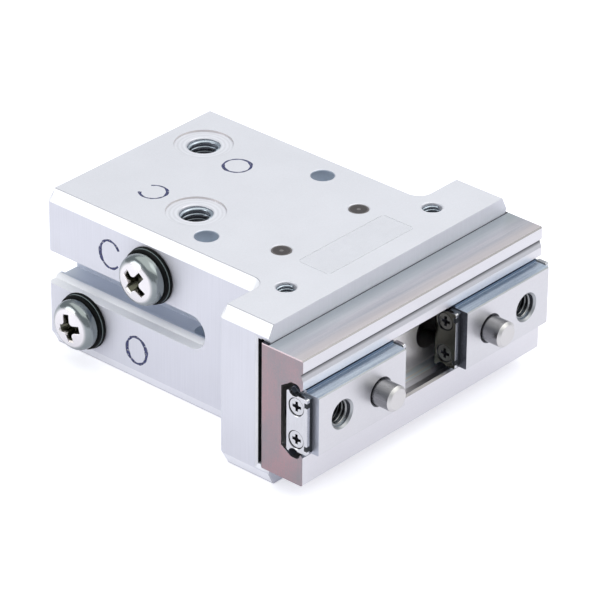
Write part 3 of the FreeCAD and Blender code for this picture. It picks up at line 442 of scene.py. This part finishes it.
turned = Finish("turned_aluminium", {"Metallic": 1.0})
from_axis = turned.off_axis(CYLINDER_AXIS, (1, 0, 1))
lathe = from_axis.wave(LATHE_PITCH)
turned.feed("Base Color", turned.mix(lathe, tone(TURNED, 0.94), tone(TURNED, 1.05)))
turned.feed("Roughness", 0.28 + turned.grain((3.0, 3.0, 3.0)) * 0.12)
turned.relief(lathe, 0.004, 0.15)
seal_rubber, seal_bloom = rubber("seal_rubber", 0.4)
seal_rubber.feed("Base Color", seal_rubber.mix(seal_bloom, tone(RUBBER, 0.7), tone(RUBBER, 1.8)))
dress(turned, "end_cap")
dress(seal_rubber, "end_cap_seal")
dress(metal("spring_steel", SPRING, 0.34, (4.0, 4.0, 4.0), 0.003, 0.08), "retaining_ring")

# A brass bush and two rubber rings part the cylinder from the lever room and carry the piston rod.
# The bush is turned and pushed in from the rear.
BRASS = (0.68, 0.50, 0.22)
dress(metal("turned_brass", BRASS, 0.25, (9.0, 0.6, 9.0), 0.003, 0.1), "rod_bush")
dress(seal_rubber, "rod_seal", "rod_bush_seal")

# The piston is turned aluminium with a lip seal and a moulded magnet ring, and a nut holds it on the
# ground rod. The rod ends in a milled steel fork with a hardened pin.
MAGNET = (0.05, 0.05, 0.055)
MILLED = (0.42, 0.42, 0.44)
dress(turned, "piston")
dress(seal_rubber, "piston_seal")
dress(metal("moulded_magnet", MAGNET, 0.5, (5.0, 5.0, 5.0), 0.004, 0.05), "piston_magnet")
milled_steel = metal("milled_steel", MILLED, 0.32, (6.0, 0.8, 6.0), 0.004, 0.1)
dress(milled_steel, "piston_nut", "rod_clevis")

# Two bell-crank levers of hardened steel turn on ground pins. The pins are pressed through the body,
# and their dark ends, with a turning centre, stand just below its top face.
PIVOT_X = 8.4
PIVOT_Y = -10.7
PIN_RADIUS = 1.5
PIN_DARK = (0.075, 0.066, 0.066)
PIN_LIGHT = (0.30, 0.28, 0.28)
PIN_CENTRE_RADIUS = 0.3
PIN_MARK_PITCH = 0.3
LEVER_STEEL = (0.22, 0.21, 0.21)
GROUND_PIN = (0.60, 0.59, 0.575)
lever_steel = metal("hardened_steel", LEVER_STEEL, 0.3, (0.8, 6.0, 6.0), 0.003, 0.1)
dress(lever_steel, "left_lever", "right_lever")
pivot_end = Finish("pivot_pin_steel", {"Metallic": 0.9})
pivots = [(-PIVOT_X, PIVOT_Y, 0), (PIVOT_X, PIVOT_Y, 0)]
from_pin = pivot_end.off_nearest(pivots, (1, 1, 0))
centre_dot = from_pin < PIN_CENTRE_RADIUS
scale_spots = pivot_end.grain((3.0, 3.0, 3.0), 4.0)
worn = centre_dot * 0.6 + (from_pin > 0.86 * PIN_RADIUS) * 0.5 + scale_spots * 0.3
pivot_end.feed("Base Color", pivot_end.mix(worn, tone(PIN_DARK), tone(PIN_LIGHT)))
pivot_end.feed("Roughness", 0.36 + scale_spots * 0.2)
pivot_end.relief(from_pin.wave(PIN_MARK_PITCH) * 0.5 - centre_dot * 4.0, 0.008, 0.1)
dress(pivot_end, "left_pivot_pin", "right_pivot_pin")
ground_pin = metal("ground_pin_steel", GROUND_PIN, 0.2, (8.0, 0.8, 8.0), 0.002, 0.12)
dress(ground_pin, "clevis_pin", "piston_rod")

# The guide is one hardened steel channel, ground on its faces along its length. Four black socket
# screws behind the fingers hold it against the lip of the flange.
GUIDE_STEEL = (0.76, 0.745, 0.76)
# GUIDE_SLANT is painted shade: the guide's broken edges are coloured darker than its faces.
GUIDE_SLANT = (0.38, 0.36, 0.355)
# GUIDE_TOP is painted shade: the guide's top faces are coloured darker and bluer than its front, in
# streaks.
GUIDE_TOP = ((0.57, 0.565, 0.62), (0.76, 0.735, 0.775))
# GUIDE_END colours the guide's end faces darker and pinker than its front, in large blotches.
GUIDE_END = ((0.33, 0.305, 0.32), (0.46, 0.31, 0.325))
# GUIDE_EDGE is a painted highlight along the top edge of each end of the guide.
GUIDE_EDGE = (0.86, 0.72, 0.72)
GUIDE_EDGE_WIDTH = 0.22
# GUIDE_TOP_FRONT is a painted highlight: a warm light band along the front of the guide's top.
GUIDE_TOP_FRONT = (0.90, 0.79, 0.77)
FRONT_BAND = (-1.0, 1.0, 1.4)
# GUIDE_TOP_REAR is painted shade: a darker band on the guide's top towards the flange's lip.
GUIDE_TOP_REAR = (0.50, 0.55, 0.57)
REAR_BAND = (5.2, 9.0, 2.0)
LIP_SHADE = (0.06, 0.06, 0.075)
LIP_DEPTH = 6.4
# CHANNEL is painted light: the inside of the channel is coloured lighter than the guide's front, to lift
# it out of its shade.
CHANNEL = (0.92, 0.89, 0.86)
CHANNEL_DEPTHS = (1.2, 8.0, 0.8)
CHANNEL_HALF = 5.6
# Painted reflection: light bluish streaks on the lower ball race inside the channel.
RACE_REFLECTION = (0.80, 0.88, 0.96)
RACE_TOP = -3.0
RACE_DEPTH = 4.0
RACE_LEAN = 0.4
MARK_SHADE = (0.08, 0.078, 0.085)
MARK_DEPTH = 0.45
MARK_HEIGHT = 7.5
MARK_HALF = 0.7
BLACK_OXIDE = (0.035, 0.035, 0.04)


def ground_steel(name, roughness, edge, front, top, end, slant):
    """Steel ground along X on its long faces and across on its ends, and its colour before any shading.

    front, top and end are a dark and a light colour of the faces that look along Y, Z and X, set apart in
    part as painted light and shade for the way each face looks. slant is the colour of the broken edges
    between them, darker as painted shade.
    """
    finish = Finish(name, {"Metallic": 1.0})
    along = finish.grain((0.12, 14.0, 14.0), 3.0)
    across = finish.grain((8.0, 7.0, 0.15), 3.0)
    streaks = finish.grain((0.06, 1.5, 1.5), 3.0)
    speckle = finish.grain((4.0, 4.0, 4.0), 3.0)
    end_blotches = finish.grain((0.2, 0.2, 0.14))
    on_end = finish.facing("X")
    marks = along + on_end * (across - along)
    colour = finish.mix(marks * 0.5 + speckle * 0.5, *[tone(c) for c in front])
    top_colour = finish.mix((streaks - 0.3) * 1.8 + (speckle - 0.5) * 0.6, *[tone(c) for c in top])
    colour = finish.mix(finish.facing("Z"), colour, top_colour)
    end_shade = (end_blotches - 0.5) * 2.4 + (marks - 0.5) * 0.8 + (speckle - 0.5) * 1.6 + 0.5
    end_colour = finish.mix(end_shade, *[tone(c) for c in end])
    colour = finish.mix(on_end, colour, end_colour)
    flat = on_end + finish.facing("Y") + finish.facing("Z")
    colour = finish.mix(flat, tone(slant), colour)
    finish.feed("Roughness", roughness + (marks - 0.5) * 0.12 + on_end * 0.1)
    finish.relief(marks, 0.003, edge)
    return finish, colour


def spread(colour, share):
    """A dark and a light shade of one colour."""
    return [channel * (1 - share) for channel in colour], [channel * (1 + share) for channel in colour]


guide_steel, guide_colour = ground_steel(
    "ground_guide_steel", 0.34, 0.06, spread(GUIDE_STEEL, 0.08), GUIDE_TOP, GUIDE_END, GUIDE_SLANT
)
guide_depth = guide_steel.along("Y") - GUIDE_FRONT
guide_height = guide_steel.along("Z") - MID_HEIGHT
guide_on_end = guide_steel.facing("X")
off_ends = 1 - guide_on_end
on_top = guide_steel.facing("Z") * (abs(guide_height) > GUIDE_HALF - NEAR)
in_channel = guide_depth.between(*CHANNEL_DEPTHS) * (abs(guide_height) < CHANNEL_HALF) * off_ends
race_glints = guide_steel.grain((0.1, 2.0, 2.0)).between(0.5, 2.0, 0.06)
race_walls = (guide_steel.lean("Z") > RACE_LEAN) * (guide_height < RACE_TOP) * (guide_depth < RACE_DEPTH)
on_race = in_channel * race_walls * race_glints
mark_walls = (guide_depth < MARK_DEPTH) * (abs(guide_height - MARK_HEIGHT) < MARK_HALF)
in_mark = mark_walls * off_ends * (guide_depth * 5.0 - 1.0).clamp()
for share, colour in (
    (on_top * guide_depth.between(*FRONT_BAND) * 0.5, GUIDE_TOP_FRONT),
    (on_top * guide_depth.between(*REAR_BAND) * 0.8, GUIDE_TOP_REAR),
    (on_top * (guide_depth > LIP_DEPTH), LIP_SHADE),
    (in_channel * 0.9, CHANNEL),
    (on_race * 0.8, RACE_REFLECTION),
    (in_mark, MARK_SHADE),
    (guide_on_end * (guide_height > GUIDE_HALF - GUIDE_EDGE_WIDTH) * 0.8, GUIDE_EDGE),
):
    guide_colour = guide_steel.mix(share, guide_colour, tone(colour))
guide_steel.feed("Base Color", guide_colour)
dress(guide_steel, "guide_rail")
dress(metal("black_oxide_steel", BLACK_OXIDE, 0.4, (6.0, 6.0, 6.0), 0.004, 0.08), "guide_screws")

# Each finger block is a ground steel slide that runs in the channel on two rows of balls. It has an
# M4 thread for the jaw, and a dowel stands out of its front to place it.
FINGER_STEEL = (0.71, 0.70, 0.71)
# FINGER_TOP is painted light and shade: the fingers' top faces take bluish colours, darker and lighter
# than their front.
FINGER_TOP = ((0.365, 0.445, 0.565), (0.82, 0.90, 0.98))
# FINGER_SLANT is painted shade: the fingers' broken edges are coloured darker than their faces.
FINGER_SLANT = (0.42, 0.43, 0.44)
# FINGER_OUTER_END is painted light: the outer end faces of the fingers are lighter than the inner ends.
FINGER_OUTER_END = (0.50, 0.52, 0.58)
OUTER_END_DEPTH = 0.3
# FINGER_END is painted shade: the fingers' end faces are dark, except the outer ends.
FINGER_END = (0.18, 0.19, 0.22)
# FINGER_LIP is painted shade: the fingers' lips above and below, under the guide's jaws, are dark blue.
FINGER_LIP = (0.17, 0.22, 0.30)
LIP_HEIGHT = 4.73
# Painted shade: the dowels' sides are coloured far darker than their end faces.
DOWEL_SIDE = (0.29, 0.29, 0.302)
DOWEL_END = (0.69, 0.67, 0.655)
# DOWEL_MOUTH is painted shade: a darker ring on the finger's front around each dowel.
DOWEL_MOUTH = (0.34, 0.34, 0.36)
DOWEL_MOUTH_RADIUS = 2.32
CUT_STEEL = (0.34, 0.345, 0.34)
JAW_LIT_DEPTHS = (-1.0, 0.9, 1.6)
JAW_THREAD = (2.0, 0.7, 4.0)
BALL_STEEL = (0.62, 0.62, 0.64)
finger_front = spread(FINGER_STEEL, 0.08)
finger_end = spread(FINGER_END, 0.3)
finger_steel, finger_colour = ground_steel(
    "ground_finger_steel", 0.4, 0.03, finger_front, FINGER_TOP, finger_end, FINGER_SLANT
)
on_lip = abs(finger_steel.along("Z") - MID_HEIGHT) > LIP_HEIGHT
finger_colour = finger_steel.mix(on_lip, finger_colour, tone(FINGER_LIP))
outer_end = abs(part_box("left_finger_block")[0].x / MM)
on_outer_end = finger_steel.facing("X") * (abs(finger_steel.along("X")) > outer_end - OUTER_END_DEPTH)
finger_colour = finger_steel.mix(on_outer_end, finger_colour, tone(FINGER_OUTER_END))
dowels = [mount_place("left_jaw_dowel"), mount_place("right_jaw_dowel")]
from_dowel = finger_steel.off_nearest(dowels, (1, 0, 1))
finger_colour = finger_steel.mix(from_dowel < DOWEL_MOUTH_RADIUS, finger_colour, tone(DOWEL_MOUTH))
finger_steel.feed("Base Color", finger_colour)
cut_steel, steel_colour = fresh_cut("freshly_cut_steel", CUT_STEEL)
# Painted shade: the jaw threads fade to near black from about 0.9 mm to 2.5 mm in from the finger's front.
jaw_depth = cut_steel.along("Y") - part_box("left_finger_block")[0].y / MM
near_mouth = jaw_depth.between(*JAW_LIT_DEPTHS)
cut_steel.feed("Base Color", cut_steel.mix(near_mouth, tone(UNLIT), steel_colour))
dowel_steel = Finish("ground_dowel_steel", {"Metallic": 1.0})
dowel_lines = dowel_steel.grain((0.8, 0.1, 0.8), 3.0)
dowel_end = dowel_steel.lean("Y") > 0.6
dowel_side = dowel_steel.mix(dowel_lines, tone(DOWEL_SIDE, 0.7), tone(DOWEL_SIDE, 1.4))
dowel_steel.feed("Base Color", dowel_steel.mix(dowel_end, dowel_side, tone(DOWEL_END)))
dowel_steel.feed("Roughness", 0.2 + dowel_lines * 0.14 + dowel_end * 0.16)
dowel_steel.relief(dowel_lines, 0.003, 0.1)
ball_steel = metal("polished_ball_steel", BALL_STEEL, 0.08, (2.0, 2.0, 2.0), 0.0005, 0.01)
for side in ("left", "right"):
    dress(finger_steel, f"{side}_finger_block")
    dress(dowel_steel, f"{side}_finger_pin")
    dress(ball_steel, f"{side}_ball_rows")
    jaw = [mount_place(f"{side}_jaw_thread")]
    lying = (math.pi / 2, 0, 0)
    finger = f"{side}_finger"
    cut_threads(f"{side}_jaw_threads", jaw, JAW_THREAD, lying, cut_steel, finger)

# A rubber wiper and a pressed steel plate close each end of a finger block. Two small countersunk
# screws with cross recesses hold them.
PLATE_STEEL = (0.66, 0.66, 0.675)
PLATE_SHADE = (0.10, 0.10, 0.085)
SCREW_STEEL = (0.64, 0.64, 0.65)
SCREW_SHADE = (0.15, 0.15, 0.14)
SCREW_HEAD_RADIUS = 1.3
COUNTERSINK_RADIUS = 1.42
SKIN = 0.03
WIPER = (0.02, 0.023, 0.028)
# WIPER_LIP is painted light: the wipers' top and bottom lips are lighter than the rest of the rubber.
WIPER_LIP = (0.09, 0.105, 0.13)
WIPER_LIP_HEIGHT = 4.3
screw_low, screw_high = [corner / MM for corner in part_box("right_plate_screws")]
screw_heights = (screw_low.z + SCREW_HEAD_RADIUS, screw_high.z - SCREW_HEAD_RADIUS)


def pressed_plate(name, face):
    """Pressed steel, unlit inside its countersinks. face is the colour of the plate's broad sides."""
    finish = Finish(name, {"Metallic": 1.0})
    press_marks = finish.grain((3.0, 3.0, 0.6), 3.0)
    sunk = 0.0
    for screw_height in screw_heights:
        screw_centre = (0.0, (screw_low.y + screw_high.y) / 2, screw_height)
        sunk = (finish.off_axis(screw_centre, (0, 1, 1)) < COUNTERSINK_RADIUS) + sunk
    face_colour = finish.mix(press_marks, tone(face, 0.9), tone(face, 1.1))
    colour = finish.mix(finish.facing("X"), tone(PLATE_STEEL), face_colour)
    finish.feed("Base Color", finish.mix(sunk, colour, tone(UNLIT)))
    finish.feed("Roughness", 0.15 + press_marks * 0.1)
    finish.relief(press_marks, 0.003, 0.1)
    return finish


plates = {
    "outer": pressed_plate("outer_plate_steel", PLATE_STEEL),
    "inner": pressed_plate("inner_plate_steel", PLATE_SHADE),
}
small_screw = Finish("nickelled_screw_steel", {"Metallic": 1.0})
from_middle = abs(small_screw.along("X"))
screw_marks = small_screw.grain((5.0, 5.0, 5.0))
screw_tone = small_screw.mix(from_middle > screw_high.x - SKIN, tone(UNLIT), tone(SCREW_STEEL))
screw_tone = small_screw.mix(from_middle < screw_low.x + SKIN, screw_tone, tone(SCREW_SHADE))
small_screw.feed("Base Color", screw_tone)
small_screw.feed("Roughness", 0.2 + screw_marks * 0.1)
small_screw.relief(screw_marks, 0.003, 0.05)
wiper_rubber = rubber("wiper_rubber", 0.3)[0]
wiper_lips = abs(wiper_rubber.along("Z") - MID_HEIGHT) > WIPER_LIP_HEIGHT
wiper_rubber.feed("Base Color", wiper_rubber.mix(wiper_lips, tone(WIPER), tone(WIPER_LIP)))
for side in ("left", "right"):
    dress(small_screw, f"{side}_plate_screws")
    for end in ("inner", "outer"):
        dress(plates[end], f"{side}_{end}_end_plate")
        dress(wiper_rubber, f"{side}_{end}_end_seal")

# Two plated pan-head screws with cross recesses plug the side ports. The flanks of their heads are
# coloured darker than the crowns, as painted shade. Each one presses a black rubber washer with two
# lips against the body.
PLATED = (0.90, 0.87, 0.865)
PLATED_SHADE = (0.28, 0.31, 0.31)
PLATED_FLANK = (3.3, 20.0, 0.45)
# RECESS is painted shade: the cross recesses are near black inside.
RECESS = (0.10, 0.10, 0.075)
RECESS_REACH = 2.5
RECESS_DEPTH = 0.55
GASKET = (0.003, 0.0035, 0.0035)
# GASKET_LINE is a painted highlight: a thin light line round the waist of each washer, between its lips.
GASKET_LINE = (0.24, 0.29, 0.29)
GASKET_LINE_HALF = 0.05
plug_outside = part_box("close_port_plug")[0].x / MM
plated = Finish("plated_screw_steel", {"Metallic": 1.0})
smears = plated.grain((0.5, 0.5, 0.5), 4.0)
pits = plated.grain((7.0, 7.0, 7.0))
plug_middles = []
for plug in ("close_port_plug", "open_port_plug"):
    low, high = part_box(plug)
    plug_middles.append((low + high) / 2 / MM)
from_plug = plated.off_nearest(plug_middles, (0, 1, 1))
# Painted shade on the flank of each plug's head.
shaded_flank = from_plug.between(*PLATED_FLANK)
recessed = (from_plug < RECESS_REACH) * (plated.along("X") - plug_outside > RECESS_DEPTH)
plug_tone = plated.mix(smears * 0.4, tone(PLATED), tone(PLATED, 0.7))
plug_tone = plated.mix(shaded_flank, plug_tone, tone(PLATED_SHADE))
plated.feed("Base Color", plated.mix(recessed, plug_tone, tone(RECESS)))
plated.feed("Roughness", 0.12 + smears * 0.14)
plated.relief(pits * 0.5 + smears, 0.004, 0.15)
dress(plated, "close_port_plug", "open_port_plug")
gasket_middle = sum(corner.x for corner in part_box("close_port_gasket")) / 2 / MM
gasket_rubber = rubber("gasket_rubber", 0.1)[0]
in_waist = abs(gasket_rubber.along("X") - gasket_middle) < GASKET_LINE_HALF
gasket_rubber.feed("Base Color", gasket_rubber.mix(in_waist, tone(GASKET), tone(GASKET_LINE)))
dress(gasket_rubber, "close_port_gasket", "open_port_gasket")

# The ports are marked by hand with a navy stamp: a ring at the opening side, and a broken ring at the
# closing side. The ink lies on the anodised face, and is thin and patchy.
INK = (0.03, 0.035, 0.11)
INK_GAP = 0.002
INK_HEIGHT = 0.004
INK_STEPS = 72
ink = Finish("stamp_ink", {"Roughness": 0.5})
cover = ink.grain((3.0, 3.0, 3.0), 4.0)
ink.feed("Base Color", ink.mix(cover, tone(INK, 0.6), tone(INK, 1.8)))
ink.feed("Alpha", (cover - 0.32) * 5.0)


def stamped_ring(name, centre, across, up, sizes, start, sweep, heavy):
    """A ring or broken ring of ink. sizes are half its width, half its height and the stroke.

    start, sweep and heavy are angles in degrees: where the stroke starts, how far it goes round, and
    where the stamp pressed hardest.
    """
    across, up = Vector(across), Vector(up)
    outside = across.cross(up)
    gap, lift = outside * INK_GAP, outside * INK_HEIGHT
    work = bmesh.new()
    rows = []
    for step in range(INK_STEPS + 1):
        share = step / INK_STEPS
        angle = math.radians(start + sweep * share)
        spoke = across * (sizes[0] * math.cos(angle)) + up * (sizes[1] * math.sin(angle))
        weight = 0.65 + 0.6 * math.cos(angle - math.radians(heavy)) ** 6 + 0.12 * math.sin(9 * angle)
        half = sizes[2] * weight / 2 / spoke.length
        inner, outer = Vector(centre) + spoke * (1 - half), Vector(centre) + spoke * (1 + half)
        ring = (inner + gap, outer + gap, outer + lift, inner + lift)
        rows.append([work.verts.new(p * MM) for p in ring])
    for first, second in zip(rows, rows[1:]):
        for i in range(4):
            j = (i + 1) % 4
            work.faces.new((first[i], first[j], second[j], second[i]))
    if sweep < 360:
        work.faces.new(rows[0])
        work.faces.new(rows[-1])
    mesh = bpy.data.meshes.new(name)
    work.to_mesh(mesh)
    work.free()
    outward(mesh)
    mesh.materials.append(ink.material)
    return piece_of(name, mesh, "housing")


top_axes = ((1, 0, 0), (0, 1, 0))
side_axes = ((0, -1, 0), (0, 0, 1))
stamped_ring("top_open_mark", (6.3, 11.3, BODY_TOP), *top_axes, (2.08, 2.08, 0.44), 0, 360, 150)
stamped_ring("top_close_mark", (-8.0, 14.8, BODY_TOP), *top_axes, (2.04, 2.04, 0.42), 128, 285, 130)
stamped_ring("side_open_mark", (LEFT_FACE, 9.3, 5.5), *side_axes, (1.95, 2.2, 0.6), 0, 360, 200)
stamped_ring("side_close_mark", (LEFT_FACE, 14.4, 19.65), *side_axes, (2.0, 2.25, 0.56), 30, 290, 190)

# A clear plastic film is stuck on the top of the flange. It is bare, with rounded corners and a
# slightly glossy skin.
FILM = ((-9.3, 9.4), (-20.5, -14.5))
FILM_CORNER = 0.6
FILM_GAP = 0.002
FILM_HEIGHT = 0.003
FILM_RIM = 0.1
FILM_STEPS = 6
FILM_COLOUR = (0.62, 0.64, 0.66)
film = Finish("clear_film", {"Base Color": tone(FILM_COLOUR), "Specular IOR Level": 0.5})
film_dust = film.grain((1.2, 1.2, 1.2), 4.0)
film_places = {}
for axis, (film_start, film_end) in zip("XY", FILM):
    film_places[axis] = abs(film.along(axis) - (film_start + film_end) / 2) - (film_end - film_start) / 2
film_rim = film_dust.math("MAXIMUM", film_places["X"], film_places["Y"]) > -FILM_RIM
film.feed("Roughness", 0.16 + film_dust * 0.15)
film.feed("Alpha", 0.01 + film_dust * 0.03 + film_rim * 0.3)
film_work = bmesh.new()
film_edge = []
for i, (x, y) in enumerate(((1, 1), (0, 1), (0, 0), (1, 0))):
    inset_x = FILM[0][x] - (2 * x - 1) * FILM_CORNER
    inset_y = FILM[1][y] - (2 * y - 1) * FILM_CORNER
    for step in range(FILM_STEPS + 1):
        angle = (i + step / FILM_STEPS) * TURN / 4
        place = Vector((inset_x, inset_y, BODY_TOP + FILM_GAP))
        place += Vector((math.cos(angle), math.sin(angle), 0)) * FILM_CORNER
        film_edge.append(film_work.verts.new(place * MM))
sheet_face = film_work.faces.new(film_edge)
lifted = bmesh.ops.extrude_face_region(film_work, geom=[sheet_face])["geom"]
lifted_points = [item for item in lifted if isinstance(item, bmesh.types.BMVert)]
bmesh.ops.translate(film_work, verts=lifted_points, vec=(0, 0, FILM_HEIGHT * MM))
film_mesh = bpy.data.meshes.new("flange_film")
film_work.to_mesh(film_mesh)
film_work.free()
outward(film_mesh)
film_mesh.materials.append(film.material)
piece_of("flange_film", film_mesh, "housing")

# The stage: a pale floor that stays white in the picture and keeps a soft shadow, a pale room all
# round, and three soft boxes.
FLOOR_HALF = 3.0
FLOOR_DROP = 0.00002
FLOOR = (0.70, 0.70, 0.75)
FLOOR_SEEN = (0.55, 0.55, 0.55)
FLOOR_MIRRORED = (0.30, 0.30, 0.33)
FLOOR_GLOW = (0.08, 0.08, 0.09)
ROOM = (0.88, 0.93, 1.0)
ROOM_STRENGTH = 0.5
WHITE = (1.0, 1.0, 1.0)
WARM_WHITE = (1.0, 1.0, 0.94)
floor_mesh = bpy.data.meshes.new("floor")
floor_corners = [(x * FLOOR_HALF, y * FLOOR_HALF, 0) for x, y in ((-1, -1), (1, -1), (1, 1), (-1, 1))]
floor_mesh.from_pydata(floor_corners, [], [(0, 1, 2, 3)])
floor = bpy.data.objects.new("floor", floor_mesh)
floor.location.z = -FLOOR_DROP
bpy.context.scene.collection.objects.link(floor)
floor_constants = {"Base Color": tone(FLOOR), "Roughness": 1.0, "Specular IOR Level": 0.0}
floor_constants["Emission Strength"] = 1.0
floor_finish = Finish("pale_floor", floor_constants)
light_path = floor_finish.tree.nodes.new("ShaderNodeLightPath")
seen = Reading(floor_finish, light_path.outputs["Is Camera Ray"])
mirrored = Reading(floor_finish, light_path.outputs["Is Glossy Ray"])
glow = floor_finish.mix(mirrored, tone(FLOOR_GLOW), tone(FLOOR_MIRRORED))
floor_finish.feed("Emission Color", floor_finish.mix(seen, glow, tone(FLOOR_SEEN)))
floor_mesh.materials.append(floor_finish.material)

room = bpy.data.worlds.new("pale_room")
room.use_nodes = True
room.node_tree.nodes["Background"].inputs["Color"].default_value = tone(ROOM)
room.node_tree.nodes["Background"].inputs["Strength"].default_value = ROOM_STRENGTH
bpy.context.scene.world = room


def soft_box(name, direction, distance, size, power, colour):
    """A square area lamp that looks at the gripper from that direction. Lengths are in metres."""
    lamp = bpy.data.lights.new(name, "AREA")
    lamp.size = size
    lamp.energy = power
    lamp.color = colour
    box = bpy.data.objects.new(name, lamp)
    way = Vector(direction).normalized()
    box.location = way * distance
    box.rotation_euler = way.to_track_quat("Z", "Y").to_euler()
    bpy.context.scene.collection.objects.link(box)


soft_box("top_box", (0.15, -0.1, 1.0), distance=0.6, size=1.3, power=5.0, colour=WARM_WHITE)
soft_box("rear_left_box", (-0.785, 0.576, 0.3), distance=0.7, size=0.36, power=1.1, colour=WHITE)
soft_box("front_right_box", (0.6, -0.7, 1.3), distance=0.6, size=0.4, power=0.45, colour=WHITE)

# The camera stands to the front left and above, far back, with a long lens. Its place is solved from
# the straight edges of the body and the guide, in millimetres.
AZIMUTH = math.radians(-48.532)
ELEVATION = math.radians(29.634)
ROLL = math.radians(0.46)
AIM = Vector((0, -8.875, 13.0))
BACK_OFF = 608.4
SLIDE = (1.640, -0.613)
FOCAL_LENGTH = 251.29
SENSOR_WIDTH = 36.0
level_reach = math.cos(ELEVATION)
back = Vector((math.sin(AZIMUTH) * level_reach, -math.cos(AZIMUTH) * level_reach, math.sin(ELEVATION)))
level = Vector((0, 0, 1)).cross(back).normalized()
rise = back.cross(level)
right = level * math.cos(ROLL) + rise * math.sin(ROLL)
top = rise * math.cos(ROLL) - level * math.sin(ROLL)
eye = AIM + back * BACK_OFF - right * SLIDE[0] - top * SLIDE[1]
lens = bpy.data.cameras.new("camera")
lens.lens = FOCAL_LENGTH
lens.sensor_width = SENSOR_WIDTH
camera = bpy.data.objects.new("camera", lens)
camera.matrix_world = Matrix.Translation(eye * MM) @ Matrix((right, top, back)).transposed().to_4x4()
bpy.context.scene.collection.objects.link(camera)
bpy.context.scene.camera = camera
bpy.context.scene.view_settings.view_transform = "Standard"
